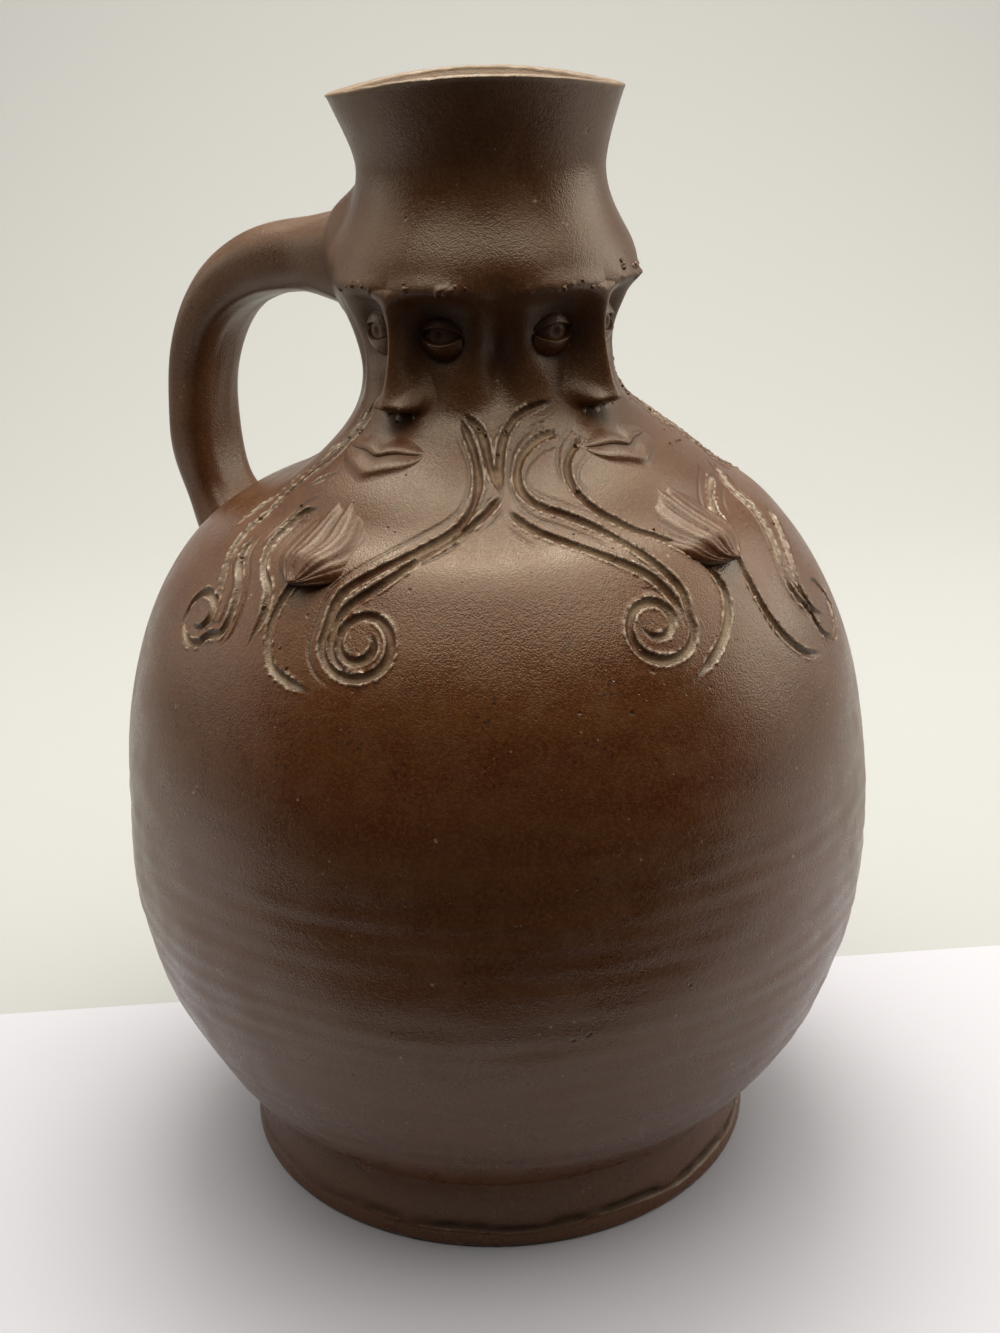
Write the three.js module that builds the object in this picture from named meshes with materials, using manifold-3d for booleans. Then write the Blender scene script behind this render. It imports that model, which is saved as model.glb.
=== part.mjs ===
// Salt-glazed stoneware jug with three bearded faces on its neck and a strap handle behind.
// Millimetres, +Z up. The origin is the middle of the flat base. An azimuth of 0 points along -Y,
// 90 along +X and 180 along +Y, where the handle is.
import * as THREE from "three";
import { mergeVertices } from "three/addons/utils/BufferGeometryUtils.js";
import Module from "manifold-3d";

const wasm = await Module();
wasm.setup();

// Thrown belly
const baseRadius = 61.7;
const creaseHeight = 21;
const creaseRadius = 75;
const bellyRadius = 107.1;
const bellyHeight = 98;
const shoulderRadius = 61;
const shoulderHeight = 198;
const shoulderSlope = 155;
const shoulderTurn = 9;
const floorThickness = 9.5;
const floorRadius = 54;
const joinFade = 6;
const bellyWall = 6.5;
const shoulderWall = 7;

// Spreading foot ring, luted round the base
const footRadius = 76;
const footWaistRadius = 74;
const footWaistHeight = 15;
const footTopWidth = 2.2;
const footEdge = 0.8;

// Thrown collar
const collarTurn = 8;
const neckRadius = 33.3;
const neckHeight = 229;
const browBulgeRadius = 40.6;
const browBulgeHeight = 257.5;
const waistRadius = 32.6;
const waistHeight = 281;
const rimRadius = 38.2;
const rimHeight = 302.2;
const rimThickness = 3.6;
const rimBevel = 0.9;
const rimWave = 2.2;
const rimWaveAzimuth = -56.5;
const boreRadius = 28;
const boreBottom = 228;

// Pulled strap handle, measured along its centre line
const handleAzimuth = 180;
const handleTopHeight = 256;
const handleRootRise = 6;
const handleRootDepth = 4;
const handleReach = 104;
const handleReachHeight = 203;
const handleLandingRadius = 82;
const handleLandingHeight = 162;
const handleWidth = 24;
const handleThickness = 17;
const handleTopThickness = 22.5;
const handleRootSpread = 1.32;
const handleRootLength = 27;

// Clay built up round the front of the collar to carry the faces and their beards
const buildUp = 12;
const buildUpHeight = 207;
const buildUpBelow = 13;
const buildUpAbove = 14;
const buildUpHalfAngle = 119;
const buildUpFade = 26;

// The throwing leans a little to one side, and the rim comes part of the way back
const lean = 1.6;
const leanAzimuth = 33.5;
const leanReturn = 0.6;

// Faces: five eyes wide, and three equal parts from hairline to brow, nose and chin
const middleFaceAzimuth = -10;
const faceSpacing = 82;
const faceRadius = 37.5;
const hairlineHeight = 282;
const chinHeight = 196;
const eyeWidth = 10.6;
const socketDepth = 5;
const browDepth = 2.8;
const cheekDepth = 1.5;
const muzzleDepth = 2;
const templeDepth = 2;
const browArch = 0.9;
const noseProjection = 11;
const noseTopLift = 1.2;
const noseSunk = 5;
const nostrilWidth = 3;
const nostrilDepth = 4.6;
const nostrilHeight = 5.2;
const eyeballRadius = 6.2;
const eyeballProud = 4;
const eyeOpening = 3.8;
const lidThickness = 1.6;
const lidWidth = 3.2;
const lidSweep = 74;
const lipWidth = 20;
const upperLipHeight = 3.4;
const lowerLipHeight = 4.6;
const tuftLength = 31;
const tuftWidth = 27;
const tuftThickness = 4.4;
const tuftLift = 9;
const tuftCurlDrop = 3.5;
const tuftRise = 1;
const tuftSlope = -42;

// Gap kept at every luted joint, and how finely round forms are cut
const jointGap = 0.3;
const skinSegments = 72;
const footSegments = 40;
const hollowSegments = 34;

// Heights that follow from the face's proportions
const faceThird = (hairlineHeight - chinHeight) / 3;
const browHeight = hairlineHeight - faceThird;
const noseBaseHeight = browHeight - faceThird;
const eyeHeight = browHeight - 0.36 * faceThird;
const mouthHeight = noseBaseHeight - faceThird / 3;
const tuftHeight = buildUpHeight + tuftRise;

// Angles at which the shoulder runs into the joint, and the collar rises from it
const shoulderEnd = shoulderSlope + shoulderTurn;
const collarStart = shoulderSlope - collarTurn;

const radians = THREE.MathUtils.degToRad;
const smooth = THREE.MathUtils.smoothstep;

// Closed mesh with shared corners, no collapsed triangles and its faces pointing out
function weld(geometry) {
  const bare = new THREE.BufferGeometry();
  bare.setAttribute("position", geometry.getAttribute("position"));
  bare.setIndex(geometry.index);
  const merged = mergeVertices(bare, 1e-4);
  const corners = merged.index.array;
  const kept = [];
  for (let i = 0; i < corners.length; i += 3) {
    const [a, b, c] = [corners[i], corners[i + 1], corners[i + 2]];
    if (a !== b && b !== c && c !== a) kept.push(a, b, c);
  }
  merged.setIndex(kept);
  if (volumeOf(merged) < 0) merged.setIndex(kept.reverse());
  return merged;
}

function volumeOf(geometry) {
  const place = geometry.getAttribute("position");
  const corners = geometry.index.array;
  const [a, b, c] = [new THREE.Vector3(), new THREE.Vector3(), new THREE.Vector3()];
  let sum = 0;
  for (let i = 0; i < corners.length; i += 3) {
    a.fromBufferAttribute(place, corners[i]);
    b.fromBufferAttribute(place, corners[i + 1]);
    c.fromBufferAttribute(place, corners[i + 2]);
    sum += a.dot(b.cross(c)) / 6;
  }
  return sum;
}

function solidOf(geometry) {
  const closed = weld(geometry);
  const vertProperties = new Float32Array(closed.getAttribute("position").array);
  const triVerts = new Uint32Array(closed.index.array);
  return new wasm.Manifold(new wasm.Mesh({ numProp: 3, vertProperties, triVerts }));
}

function geometryOf(solid) {
  const mesh = solid.getMesh();
  const geometry = new THREE.BufferGeometry();
  geometry.setAttribute("position", new THREE.BufferAttribute(mesh.vertProperties, 3));
  geometry.setIndex(new THREE.BufferAttribute(mesh.triVerts, 1));
  return geometry;
}

// What is left of a piece outside the solids it is pressed onto, without loose crumbs
function seatedOn(piece, ...supports) {
  const cut = supports.reduce((rest, support) => rest.subtract(support), solidOf(piece));
  const lumps = cut.decompose();
  return lumps.reduce((best, lump) => (lump.volume() > best.volume() ? lump : best));
}

// Curve from one point to the next that leaves and arrives at the given angles, in degrees from
// outwards towards upwards; each pull is a share of the distance between the points
function bend(path, end, startAngle, startPull, endAngle, endPull) {
  const start = path.currentPoint;
  const span = start.distanceTo(end);
  const leave = new THREE.Vector2(Math.cos(radians(startAngle)), Math.sin(radians(startAngle)));
  const arrive = new THREE.Vector2(Math.cos(radians(endAngle)), Math.sin(radians(endAngle)));
  const first = start.clone().addScaledVector(leave, startPull * span);
  const second = end.clone().addScaledVector(arrive, -endPull * span);
  path.bezierCurveTo(first.x, first.y, second.x, second.y, end.x, end.y);
  return path;
}

// Points along a path: its ends on each straight, and the given number of steps on each curve
function pointsOf(path, ...steps) {
  const left = [...steps];
  const points = path.curves.flatMap((part) => part.getPoints(part.isLineCurve ? 1 : left.shift()));
  return points.filter((point, i) => i === 0 || point.distanceTo(points[i - 1]) > 1e-6);
}

// Solid of revolution about Z of an outline of radius and height
function turned(outline, segments) {
  return new THREE.LatheGeometry(outline, segments).rotateX(Math.PI / 2);
}

const at = (radius, height) => new THREE.Vector2(radius, height);

// Points of the joint between belly and collar, a cone square to the shoulder
const along = at(Math.cos(radians(shoulderSlope)), Math.sin(radians(shoulderSlope)));
const inward = at(-along.y, along.x);
const jointOuter = at(shoulderRadius, shoulderHeight);
const jointInner = jointOuter.clone().addScaledVector(inward, shoulderWall);
const collarFoot = jointInner.clone().addScaledVector(along, jointGap);

function bellyCurve(path, grow = 0) {
  bend(path, at(bellyRadius + grow, bellyHeight), 39, 0.305, 90, 0.334);
  bend(path, jointOuter.clone().addScaledVector(inward, -grow), 90, 0.351, shoulderEnd, 0.358);
  return path;
}

// Collar outline from the joint up to the outer edge of the rim
function collarCurve(grow = 0) {
  const start = jointOuter.clone().addScaledVector(along, jointGap).addScaledVector(inward, -grow);
  const path = new THREE.Path().moveTo(start.x, start.y);
  bend(path, at(neckRadius + grow, neckHeight), collarStart, 0.09, 90, 0.52);
  bend(path, at(browBulgeRadius + grow, browBulgeHeight), 90, 0.29, 90, 0.16);
  bend(path, at(waistRadius + grow, waistHeight), 90, 0.23, 90, 0.44);
  bend(path, at(rimRadius + grow, rimHeight), 90, 0.22, 60, 0.1);
  return path;
}

const collarRows = [6, 8, 5, 4];
const collarSkin = pointsOf(collarCurve(), ...collarRows);

// Radius at a height on an outline that rises from point to point
function radiusAt(outline, height) {
  const above = outline.findIndex((point) => point.y > height);
  if (above === 0) return outline[0].x;
  if (above < 0) return outline[outline.length - 1].x;
  const [low, high] = [outline[above - 1], outline[above]];
  const share = (height - low.y) / (high.y - low.y);
  return low.x + share * (high.x - low.x);
}

const faceAzimuths = {
  left: middleFaceAzimuth - faceSpacing,
  middle: middleFaceAzimuth,
  right: middleFaceAzimuth + faceSpacing,
};

// Arc length across the face, in mm from its middle line, for an azimuth in degrees
function acrossFace(azimuth, face) {
  const turn = ((azimuth - face + 540) % 360) - 180;
  return radians(turn) * faceRadius;
}

const hill = (x, width, y, height) => Math.exp(-((x / width) ** 2) - (y / height) ** 2);

// How far the clay is pushed out or in by the modelling of one face. Sides are counted in eye
// widths from the middle line, and levels in thirds of the face from the height of each feature.
function faceRelief(across, height) {
  const side = Math.abs(across) / eyeWidth;
  const level = (feature) => (height - feature) / faceThird;
  const arch = browHeight + browArch * (1 - 0.75 * (side - 1) ** 2);
  const brow = browDepth * hill(side - 0.9, 1.25, level(arch), 0.11);
  const socket = socketDepth * hill(side - 1, 0.66, level(eyeHeight), 0.24);
  const cheek = cheekDepth * hill(side - 1.5, 0.7, level(noseBaseHeight) - 0.17, 0.24);
  const muzzle = muzzleDepth * hill(side, 1.1, level(mouthHeight), 0.32);
  const jaw = 0.6 * muzzleDepth * hill(side, 1.2, level(chinHeight) - 0.38, 0.17);
  const temple = templeDepth * hill(side - 2.5, 0.45, level(eyeHeight) + 0.14, 0.45);
  return brow + cheek + muzzle + jaw - socket - temple;
}

// Extra clay round the front, fading out towards the handle
function buildUpAt(azimuth, height) {
  const turn = Math.abs(((azimuth - middleFaceAzimuth + 540) % 360) - 180);
  const round = 1 - smooth(turn, buildUpHalfAngle - buildUpFade, buildUpHalfAngle + buildUpFade);
  const reach = height < buildUpHeight ? buildUpBelow : buildUpAbove;
  return round * buildUp * Math.exp(-(((height - buildUpHeight) / reach) ** 2));
}

function reliefAt(azimuth, height) {
  const fade = smooth(height, shoulderHeight, shoulderHeight + joinFade);
  const sum = Object.values(faceAzimuths).reduce(
    (total, face) => total + faceRelief(acrossFace(azimuth, face), height),
    0,
  );
  return buildUpAt(azimuth, height) + fade * sum;
}

const skinRadius = (azimuth, height) => radiusAt(collarSkin, height) + reliefAt(azimuth, height);

// The rim rises and dips in two waves round the mouth
function rimRise(azimuth, height) {
  const share = smooth(height, waistHeight, rimHeight);
  return share * rimWave * Math.cos(2 * radians(azimuth - rimWaveAzimuth));
}

const azimuthOf = (x, y) => THREE.MathUtils.radToDeg(Math.atan2(x, -y));

// Modelled surface: the turned form with its faces pushed in and out and its waving rim
function modelled(geometry) {
  const place = geometry.getAttribute("position");
  for (let i = 0; i < place.count; i++) {
    const [x, y, z] = [place.getX(i), place.getY(i), place.getZ(i)];
    const radius = Math.hypot(x, y);
    if (radius < 1e-6) continue;
    const azimuth = azimuthOf(x, y);
    const reach = (radius + reliefAt(azimuth, z)) / radius;
    place.setXYZ(i, x * reach, y * reach, z + rimRise(azimuth, z));
  }
  return geometry;
}

// The belly's outer form closed over its joint; grown, it cuts the seats on the shoulder
function bellyForm(grow = 0) {
  const path = new THREE.Path().moveTo(0, 0);
  const seatTop = creaseHeight + jointGap;
  const seatRadius = creaseRadius - footTopWidth - jointGap;
  path.lineTo(baseRadius, 0);
  path.lineTo(seatRadius, seatTop);
  path.lineTo(creaseRadius + grow, seatTop);
  bellyCurve(path, grow);
  const rim = jointOuter.clone().addScaledVector(inward, -grow).addScaledVector(along, grow);
  const inner = jointInner.clone().addScaledVector(along, grow);
  if (grow > 0) path.lineTo(rim.x, rim.y);
  path.lineTo(inner.x, inner.y);
  path.lineTo(0, inner.y);
  return solidOf(modelled(turned(pointsOf(path, 6, 9), skinSegments)));
}

// The belly's hollow, from its floor up through the joint
function hollowForm() {
  const spill = jointInner.clone().addScaledVector(along, bellyWall);
  const path = new THREE.Path().moveTo(0, floorThickness);
  path.lineTo(floorRadius, floorThickness);
  bend(path, at(bellyRadius - bellyWall, bellyHeight), 36, 0.3, 90, 0.38);
  bend(path, jointInner, 90, 0.351, shoulderEnd, 0.358);
  path.lineTo(spill.x, spill.y);
  path.lineTo(0, spill.y);
  return solidOf(turned(pointsOf(path, 6, 6), hollowSegments));
}

function footGeometry() {
  const innerBase = baseRadius + jointGap;
  const innerTop = creaseRadius - footTopWidth;
  const path = new THREE.Path().moveTo(innerBase, 0);
  path.lineTo(footRadius - footEdge, 0);
  path.lineTo(footRadius, footEdge);
  bend(path, at(footWaistRadius, footWaistHeight), 97, 0.4, 90, 0.3);
  bend(path, at(creaseRadius, creaseHeight), 90, 0.3, 72, 0.3);
  path.lineTo(innerTop, creaseHeight);
  path.lineTo(innerBase, 0);
  return turned(pointsOf(path, 3, 2), footSegments);
}

// The collar's outer form closed down to the axis; grown, it cuts the seats of what is pressed on
function collarForm(grow = 0) {
  const skin = pointsOf(collarCurve(grow), ...collarRows);
  const outline = [at(0, collarFoot.y), collarFoot, ...skin];
  outline.push(at(rimRadius - rimBevel, rimHeight + rimBevel), at(0, rimHeight + rimBevel));
  return solidOf(modelled(turned(outline, skinSegments)));
}

// The collar's hollow, open below to the belly and above at the mouth
function boreForm() {
  const spill = 6;
  const below = jointInner.clone().addScaledVector(inward, spill);
  const mouthRadius = rimRadius - rimThickness;
  const path = new THREE.Path().moveTo(0, below.y);
  path.lineTo(below.x, below.y);
  path.lineTo(collarFoot.x, collarFoot.y);
  bend(path, at(boreRadius, boreBottom), collarStart, 0.2, 90, 0.45);
  path.lineTo(boreRadius, waistHeight);
  bend(path, at(mouthRadius, rimHeight), 90, 0.4, 62, 0.35);
  path.lineTo(mouthRadius + spill, rimHeight + 2 * spill);
  path.lineTo(0, rimHeight + 2 * spill);
  return solidOf(modelledRim(turned(pointsOf(path, 5, 4), hollowSegments)));
}

// The hollow follows the waving rim but not the faces
function modelledRim(geometry) {
  const place = geometry.getAttribute("position");
  for (let i = 0; i < place.count; i++) {
    const azimuth = azimuthOf(place.getX(i), place.getY(i));
    place.setZ(i, place.getZ(i) + rimRise(azimuth, place.getZ(i)));
  }
  return geometry;
}

// Closed form through rings of equally many points, capped at both ends
function loft(rings) {
  const count = rings[0].length;
  const points = rings.flat();
  const corners = [];
  for (let ring = 0; ring + 1 < rings.length; ring++) {
    for (let i = 0; i < count; i++) {
      const [a, b] = [ring * count + i, ring * count + ((i + 1) % count)];
      corners.push(a, b, b + count, a, b + count, a + count);
    }
  }
  for (const [ring, flip] of [[0, true], [rings.length - 1, false]]) {
    const middle = new THREE.Vector3();
    rings[ring].forEach((point) => middle.addScaledVector(point, 1 / count));
    points.push(middle);
    for (let i = 0; i < count; i++) {
      const [a, b] = [ring * count + i, ring * count + ((i + 1) % count)];
      corners.push(points.length - 1, flip ? b : a, flip ? a : b);
    }
  }
  const geometry = new THREE.BufferGeometry().setFromPoints(points);
  geometry.setIndex(corners);
  return geometry;
}

// Point at an arc distance across a face, a height and a distance from the jug's axis
function onFace(face, across, height, radius) {
  const azimuth = radians(face) + across / faceRadius;
  return new THREE.Vector3(radius * Math.sin(azimuth), -radius * Math.cos(azimuth), height);
}

function skinAcross(face, across, height) {
  return skinRadius(face + THREE.MathUtils.radToDeg(across / faceRadius), height);
}

// Nose: a wedge of clay, narrow at the bridge and widening to rounded wings over its base
function noseGeometry(face) {
  const rows = 8;
  const sides = 8;
  const top = browHeight - 0.02 * faceThird;
  const bottom = noseBaseHeight - 0.05 * faceThird;
  const rings = [];
  for (let row = 0; row <= rows; row++) {
    const share = row / rows;
    const height = bottom + (top - bottom) * share;
    const tip = smooth(share, -0.16, 0.2) * (1 - 0.74 * smooth(share, 0.14, 0.94));
    const wings = 1 - 0.6 * smooth(share, 0.05, 0.55) + 0.3 * smooth(share, 0.72, 1);
    const lift = noseTopLift + (noseProjection - noseTopLift) * tip;
    const half = 0.56 * eyeWidth * wings;
    const root = skinAcross(face, 0, height);
    rings.push(noseRing(face, height, root, lift, half, sides));
  }
  return loft(rings);
}

// Level slice of the nose: a blunt arch whose ends sink into the skin
function noseRing(face, height, root, lift, half, sides) {
  const ring = [];
  for (let i = 0; i <= sides; i++) {
    const turn = Math.PI * (i / sides);
    const across = -half * Math.cos(turn) * (0.72 + 0.28 * Math.abs(Math.cos(turn)));
    const rise = (lift + noseSunk) * Math.sin(turn) ** 0.75;
    ring.push(onFace(face, across, height, root - noseSunk + rise));
  }
  return ring;
}

// Two nostrils, hollowed into the base of the nose
function nostrils(face) {
  return [-1, 1].map((side) => {
    const hollow = new THREE.SphereGeometry(0.5, 8, 5).scale(nostrilWidth, nostrilDepth, nostrilHeight);
    const across = side * 0.25 * eyeWidth;
    const radius = skinAcross(face, 0, noseBaseHeight) + 0.42 * noseProjection;
    const place = onFace(face, across, noseBaseHeight - 0.05 * faceThird, radius);
    hollow.rotateZ(radians(face));
    hollow.translate(place.x, place.y, place.z);
    return solidOf(hollow);
  });
}

// Point given from the middle of an eyeball: sideways, outwards and up
function fromEye(face, side, sideways, outwards, up) {
  const azimuth = radians(face) + (side * eyeWidth) / faceRadius;
  const depth = skinAcross(face, side * eyeWidth, eyeHeight) + eyeballProud - eyeballRadius;
  const point = new THREE.Vector3(sideways, -depth - outwards, eyeHeight + up);
  return point.applyAxisAngle(new THREE.Vector3(0, 0, 1), azimuth);
}

function eyeballGeometry(face, side) {
  const ball = new THREE.SphereGeometry(eyeballRadius, 12, 8).rotateX(Math.PI / 2);
  const place = fromEye(face, side, 0, 0, 0);
  return ball.translate(place.x, place.y, place.z);
}

// Eyelid above or below, up being 1 or -1: a flat roll of clay laid over the eyeball from corner
// to corner, its edge furthest from the eye line in the middle
function lidGeometry(face, side, up) {
  const steps = 7;
  const sides = 5;
  const rings = [];
  for (let step = 0; step <= steps; step++) {
    const sweep = radians(lidSweep * (2 * (step / steps) - 1));
    const taper = 0.3 + 0.7 * Math.cos(sweep * 1.05);
    const edge = up * (0.15 + 0.5 * eyeOpening * Math.cos(sweep) ** 0.8);
    rings.push(lidRing(face, side, sweep, edge, up, taper, sides));
  }
  return loft(rings);
}

// Slice of an eyelid square to the eyeball, given by angles across and above its middle
function lidRing(face, side, sweep, edge, up, taper, sides) {
  const middle = eyeballRadius + jointGap + lidThickness / 2;
  const ring = [];
  for (let i = 0; i < sides; i++) {
    const turn = (2 * Math.PI * i) / sides;
    const tall = up * (0.5 * lidWidth * taper) * (1 + Math.sin(turn));
    const radius = middle + 0.5 * lidThickness * Math.cos(turn);
    const tilt = (edge + tall) / eyeballRadius;
    const level = radius * Math.cos(tilt);
    const point = [level * Math.sin(sweep), level * Math.cos(sweep), radius * Math.sin(tilt)];
    ring.push(fromEye(face, side, ...point));
  }
  return ring;
}

// Lip: a roll of clay from one corner of the mouth to the other, fullest in the middle
function lipGeometry(face, up) {
  const steps = 8;
  const sides = 6;
  const thick = up > 0 ? upperLipHeight : lowerLipHeight;
  const rings = [];
  for (let step = 0; step <= steps; step++) {
    const share = -1 + (2 * step) / steps;
    const full = 0.5 * thick * (0.22 + 0.78 * Math.sqrt(Math.max(0, 1 - share ** 2)));
    const bow = up > 0 ? 0.5 * Math.cos(share * 9) * (1 - share ** 2) : 0;
    const across = 0.5 * lipWidth * share;
    const height = mouthHeight + up * (full + 0.5 * jointGap) + 0.9 * share ** 2 - bow;
    const ring = [];
    for (let i = 0; i < sides; i++) {
      const turn = (2 * Math.PI * i) / sides;
      const rise = full * Math.sin(turn);
      const skin = skinAcross(face, across, height + rise);
      ring.push(onFace(face, across, height + rise, skin + 1.35 * full * Math.cos(turn) - 0.1));
    }
    rings.push(ring);
  }
  return loft(rings);
}

// Chin tuft: a leaf of clay pressed on under the lower lip, hollow below and curling off the
// shoulder towards its tip
function tuftGeometry(face) {
  const steps = 7;
  const start = at(skinRadius(face, tuftHeight) - tuftRise, tuftHeight);
  const slope = at(Math.cos(radians(tuftSlope)), Math.sin(radians(tuftSlope)));
  const upward = at(-slope.y, slope.x);
  const rings = [];
  for (let step = 0; step <= steps; step++) {
    const share = step / steps;
    const lift = tuftLift * share ** 1.3 - tuftCurlDrop * smooth(share, 0.72, 1);
    const centre = start.clone().addScaledVector(slope, tuftLength * share);
    centre.addScaledVector(upward, lift + tuftRise);
    const half = 0.5 * tuftWidth * (0.3 + 0.7 * Math.sin(Math.PI * (0.16 + 0.74 * share)) ** 0.8);
    const thick = tuftThickness * (1 - 0.4 * share);
    rings.push(tuftRing(face, centre, upward, half * (1 - 0.62 * share ** 5), thick));
  }
  return loft(rings);
}

// Slice of the tuft across its length: a bow, with its edges turned down to the shoulder
function tuftRing(face, centre, upward, half, thick) {
  const across = 3;
  const ring = [];
  for (const [side, offset] of [[1, 0], [-1, -thick]]) {
    for (let i = 0; i <= across; i++) {
      const share = side * (-1 + (2 * i) / across);
      const droop = 0.42 * half * share ** 2;
      const point = centre.clone().addScaledVector(upward, offset * (1 - 0.5 * share ** 2) - droop);
      ring.push(flatOnFace(face, half * share, point));
    }
  }
  return ring;
}

// Point at a straight distance across a face's middle plane
function flatOnFace(face, across, point) {
  const place = new THREE.Vector3(across, -point.x, point.y);
  return place.applyAxisAngle(new THREE.Vector3(0, 0, 1), radians(face));
}

// Centre line of the handle, as distances from the jug's axis and heights: out from the neck,
// over, and down onto the shoulder
function handleLine() {
  const line = new THREE.Path().moveTo(waistRadius - handleRootDepth, handleTopHeight);
  bend(line, at(handleReach, handleReachHeight), handleRootRise, 0.572, -90, 0.475);
  bend(line, at(handleLandingRadius, handleLandingHeight), -90, 0.445, -130, 0.351);
  return line;
}

// Strap swept along its line, its section a soft-cornered oblong that spreads at both roots
function handleGeometry() {
  const steps = 22;
  const sides = 12;
  const line = handleLine();
  const length = line.getLength();
  const rings = [];
  for (let step = 0; step <= steps; step++) {
    const share = step / steps;
    const place = line.getPointAt(share);
    const ahead = line.getTangentAt(share);
    const point = new THREE.Vector3(0, place.x, place.y);
    const outwards = new THREE.Vector3(0, -ahead.y, ahead.x);
    const nearest = Math.min(share, 1 - share) * length;
    const root = 1 - smooth(nearest, handleRootDepth, handleRootDepth + handleRootLength);
    const spread = 1 + (handleRootSpread - 1) * root;
    const taper = smooth(share, 0.05, 0.62);
    const thickness = handleTopThickness + (handleThickness - handleTopThickness) * taper;
    rings.push(strapRing(point, outwards, 0.5 * handleWidth * spread, 0.5 * thickness * spread, sides));
  }
  return loft(rings).rotateZ(radians(handleAzimuth - 180));
}

function strapRing(point, outwards, halfWidth, halfThickness, sides) {
  const ring = [];
  for (let i = 0; i < sides; i++) {
    const turn = (2 * Math.PI * (i + 0.5)) / sides;
    const wide = Math.sign(Math.cos(turn)) * Math.abs(Math.cos(turn)) ** 0.62;
    const thick = Math.sign(Math.sin(turn)) * Math.abs(Math.sin(turn)) ** 0.62;
    const crown = Math.sin(turn) > 0 ? 1 - 0.18 * wide ** 2 : 1;
    const corner = point.clone().addScaledVector(outwards, halfThickness * thick * crown);
    corner.x += halfWidth * wide;
    ring.push(corner);
  }
  return ring;
}

const glaze = { roughness: 0.42, metalness: 0 };
const clays = {
  belly: new THREE.MeshStandardMaterial({ color: 0x5f4335, ...glaze }),
  collar: new THREE.MeshStandardMaterial({ color: 0x66493a, ...glaze }),
  handle: new THREE.MeshStandardMaterial({ color: 0x5a3f32, ...glaze }),
  applied: new THREE.MeshStandardMaterial({ color: 0x523a2f, ...glaze }),
};

const jug = new THREE.Group();
jug.name = "stoneware_face_jug";

// Every piece above the foot leans by the same amount at the same height
function leant(geometry) {
  const place = geometry.getAttribute("position");
  for (let i = 0; i < place.count; i++) {
    const z = place.getZ(i);
    const back = leanReturn * smooth(z, waistHeight, rimHeight);
    const shift = lean * smooth(z, creaseHeight, 0.5 * bellyHeight) * (1 - back);
    place.setX(i, place.getX(i) + shift * Math.sin(radians(leanAzimuth)));
    place.setY(i, place.getY(i) - shift * Math.cos(radians(leanAzimuth)));
  }
  return geometry;
}

function addPiece(name, geometry, material) {
  const mesh = new THREE.Mesh(leant(geometry), material);
  mesh.name = name;
  jug.add(mesh);
}

const grownCollar = collarForm(jointGap);
const grownBelly = bellyForm(jointGap);

addPiece("body", geometryOf(bellyForm().subtract(hollowForm())), clays.belly);
addPiece("foot", weld(footGeometry()), clays.belly);
addPiece("neck", geometryOf(collarForm().subtract(boreForm())), clays.collar);
addPiece("handle", geometryOf(seatedOn(handleGeometry(), grownCollar, grownBelly)), clays.handle);

for (const [name, face] of Object.entries(faceAzimuths)) {
  const nose = seatedOn(noseGeometry(face), grownCollar, ...nostrils(face));
  addPiece(`${name}_nose`, geometryOf(nose), clays.applied);
  const upperLip = seatedOn(lipGeometry(face, 1), grownCollar);
  addPiece(`${name}_upper_lip`, geometryOf(upperLip), clays.applied);
  const lowerLip = seatedOn(lipGeometry(face, -1), grownCollar);
  addPiece(`${name}_lower_lip`, geometryOf(lowerLip), clays.applied);
  const tuft = seatedOn(tuftGeometry(face), grownCollar, grownBelly);
  addPiece(`${name}_chin_tuft`, geometryOf(tuft), clays.applied);
  for (const [sideName, side] of [["a", -1], ["b", 1]]) {
    const ball = seatedOn(eyeballGeometry(face, side), grownCollar);
    addPiece(`${name}_eyeball_${sideName}`, geometryOf(ball), clays.applied);
    const upperLid = seatedOn(lidGeometry(face, side, 1), grownCollar);
    addPiece(`${name}_upper_lid_${sideName}`, geometryOf(upperLid), clays.applied);
    const lowerLid = seatedOn(lidGeometry(face, side, -1), grownCollar);
    addPiece(`${name}_lower_lid_${sideName}`, geometryOf(lowerLid), clays.applied);
  }
}

export default jug;
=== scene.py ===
import math

import bpy
import numpy as np
from mathutils import Matrix, Vector


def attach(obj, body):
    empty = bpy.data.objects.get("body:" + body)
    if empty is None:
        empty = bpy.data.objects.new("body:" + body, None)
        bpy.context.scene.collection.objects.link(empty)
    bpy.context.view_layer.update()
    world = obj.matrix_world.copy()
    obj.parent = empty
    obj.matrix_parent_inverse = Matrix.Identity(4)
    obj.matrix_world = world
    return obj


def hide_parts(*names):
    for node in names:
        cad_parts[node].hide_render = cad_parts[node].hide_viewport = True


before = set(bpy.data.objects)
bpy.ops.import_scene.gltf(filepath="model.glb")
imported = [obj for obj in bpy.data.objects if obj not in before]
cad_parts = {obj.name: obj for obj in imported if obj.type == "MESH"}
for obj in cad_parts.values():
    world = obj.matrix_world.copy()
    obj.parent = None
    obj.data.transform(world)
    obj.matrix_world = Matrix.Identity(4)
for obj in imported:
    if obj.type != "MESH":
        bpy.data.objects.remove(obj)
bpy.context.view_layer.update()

MM = 0.001

# Thrown belly
BASE_RADIUS = 61.7
CREASE = (75.0, 21.0)
BELLY = (107.1, 98.0)
JOINT = (61.0, 198.0)
SHOULDER_SLOPE = 155
FLOOR_THICKNESS = 9.5
FLOOR_RADIUS = 54
BELLY_WALL = 6.5
SHOULDER_WALL = 7
JOIN_FADE = 6

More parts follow.
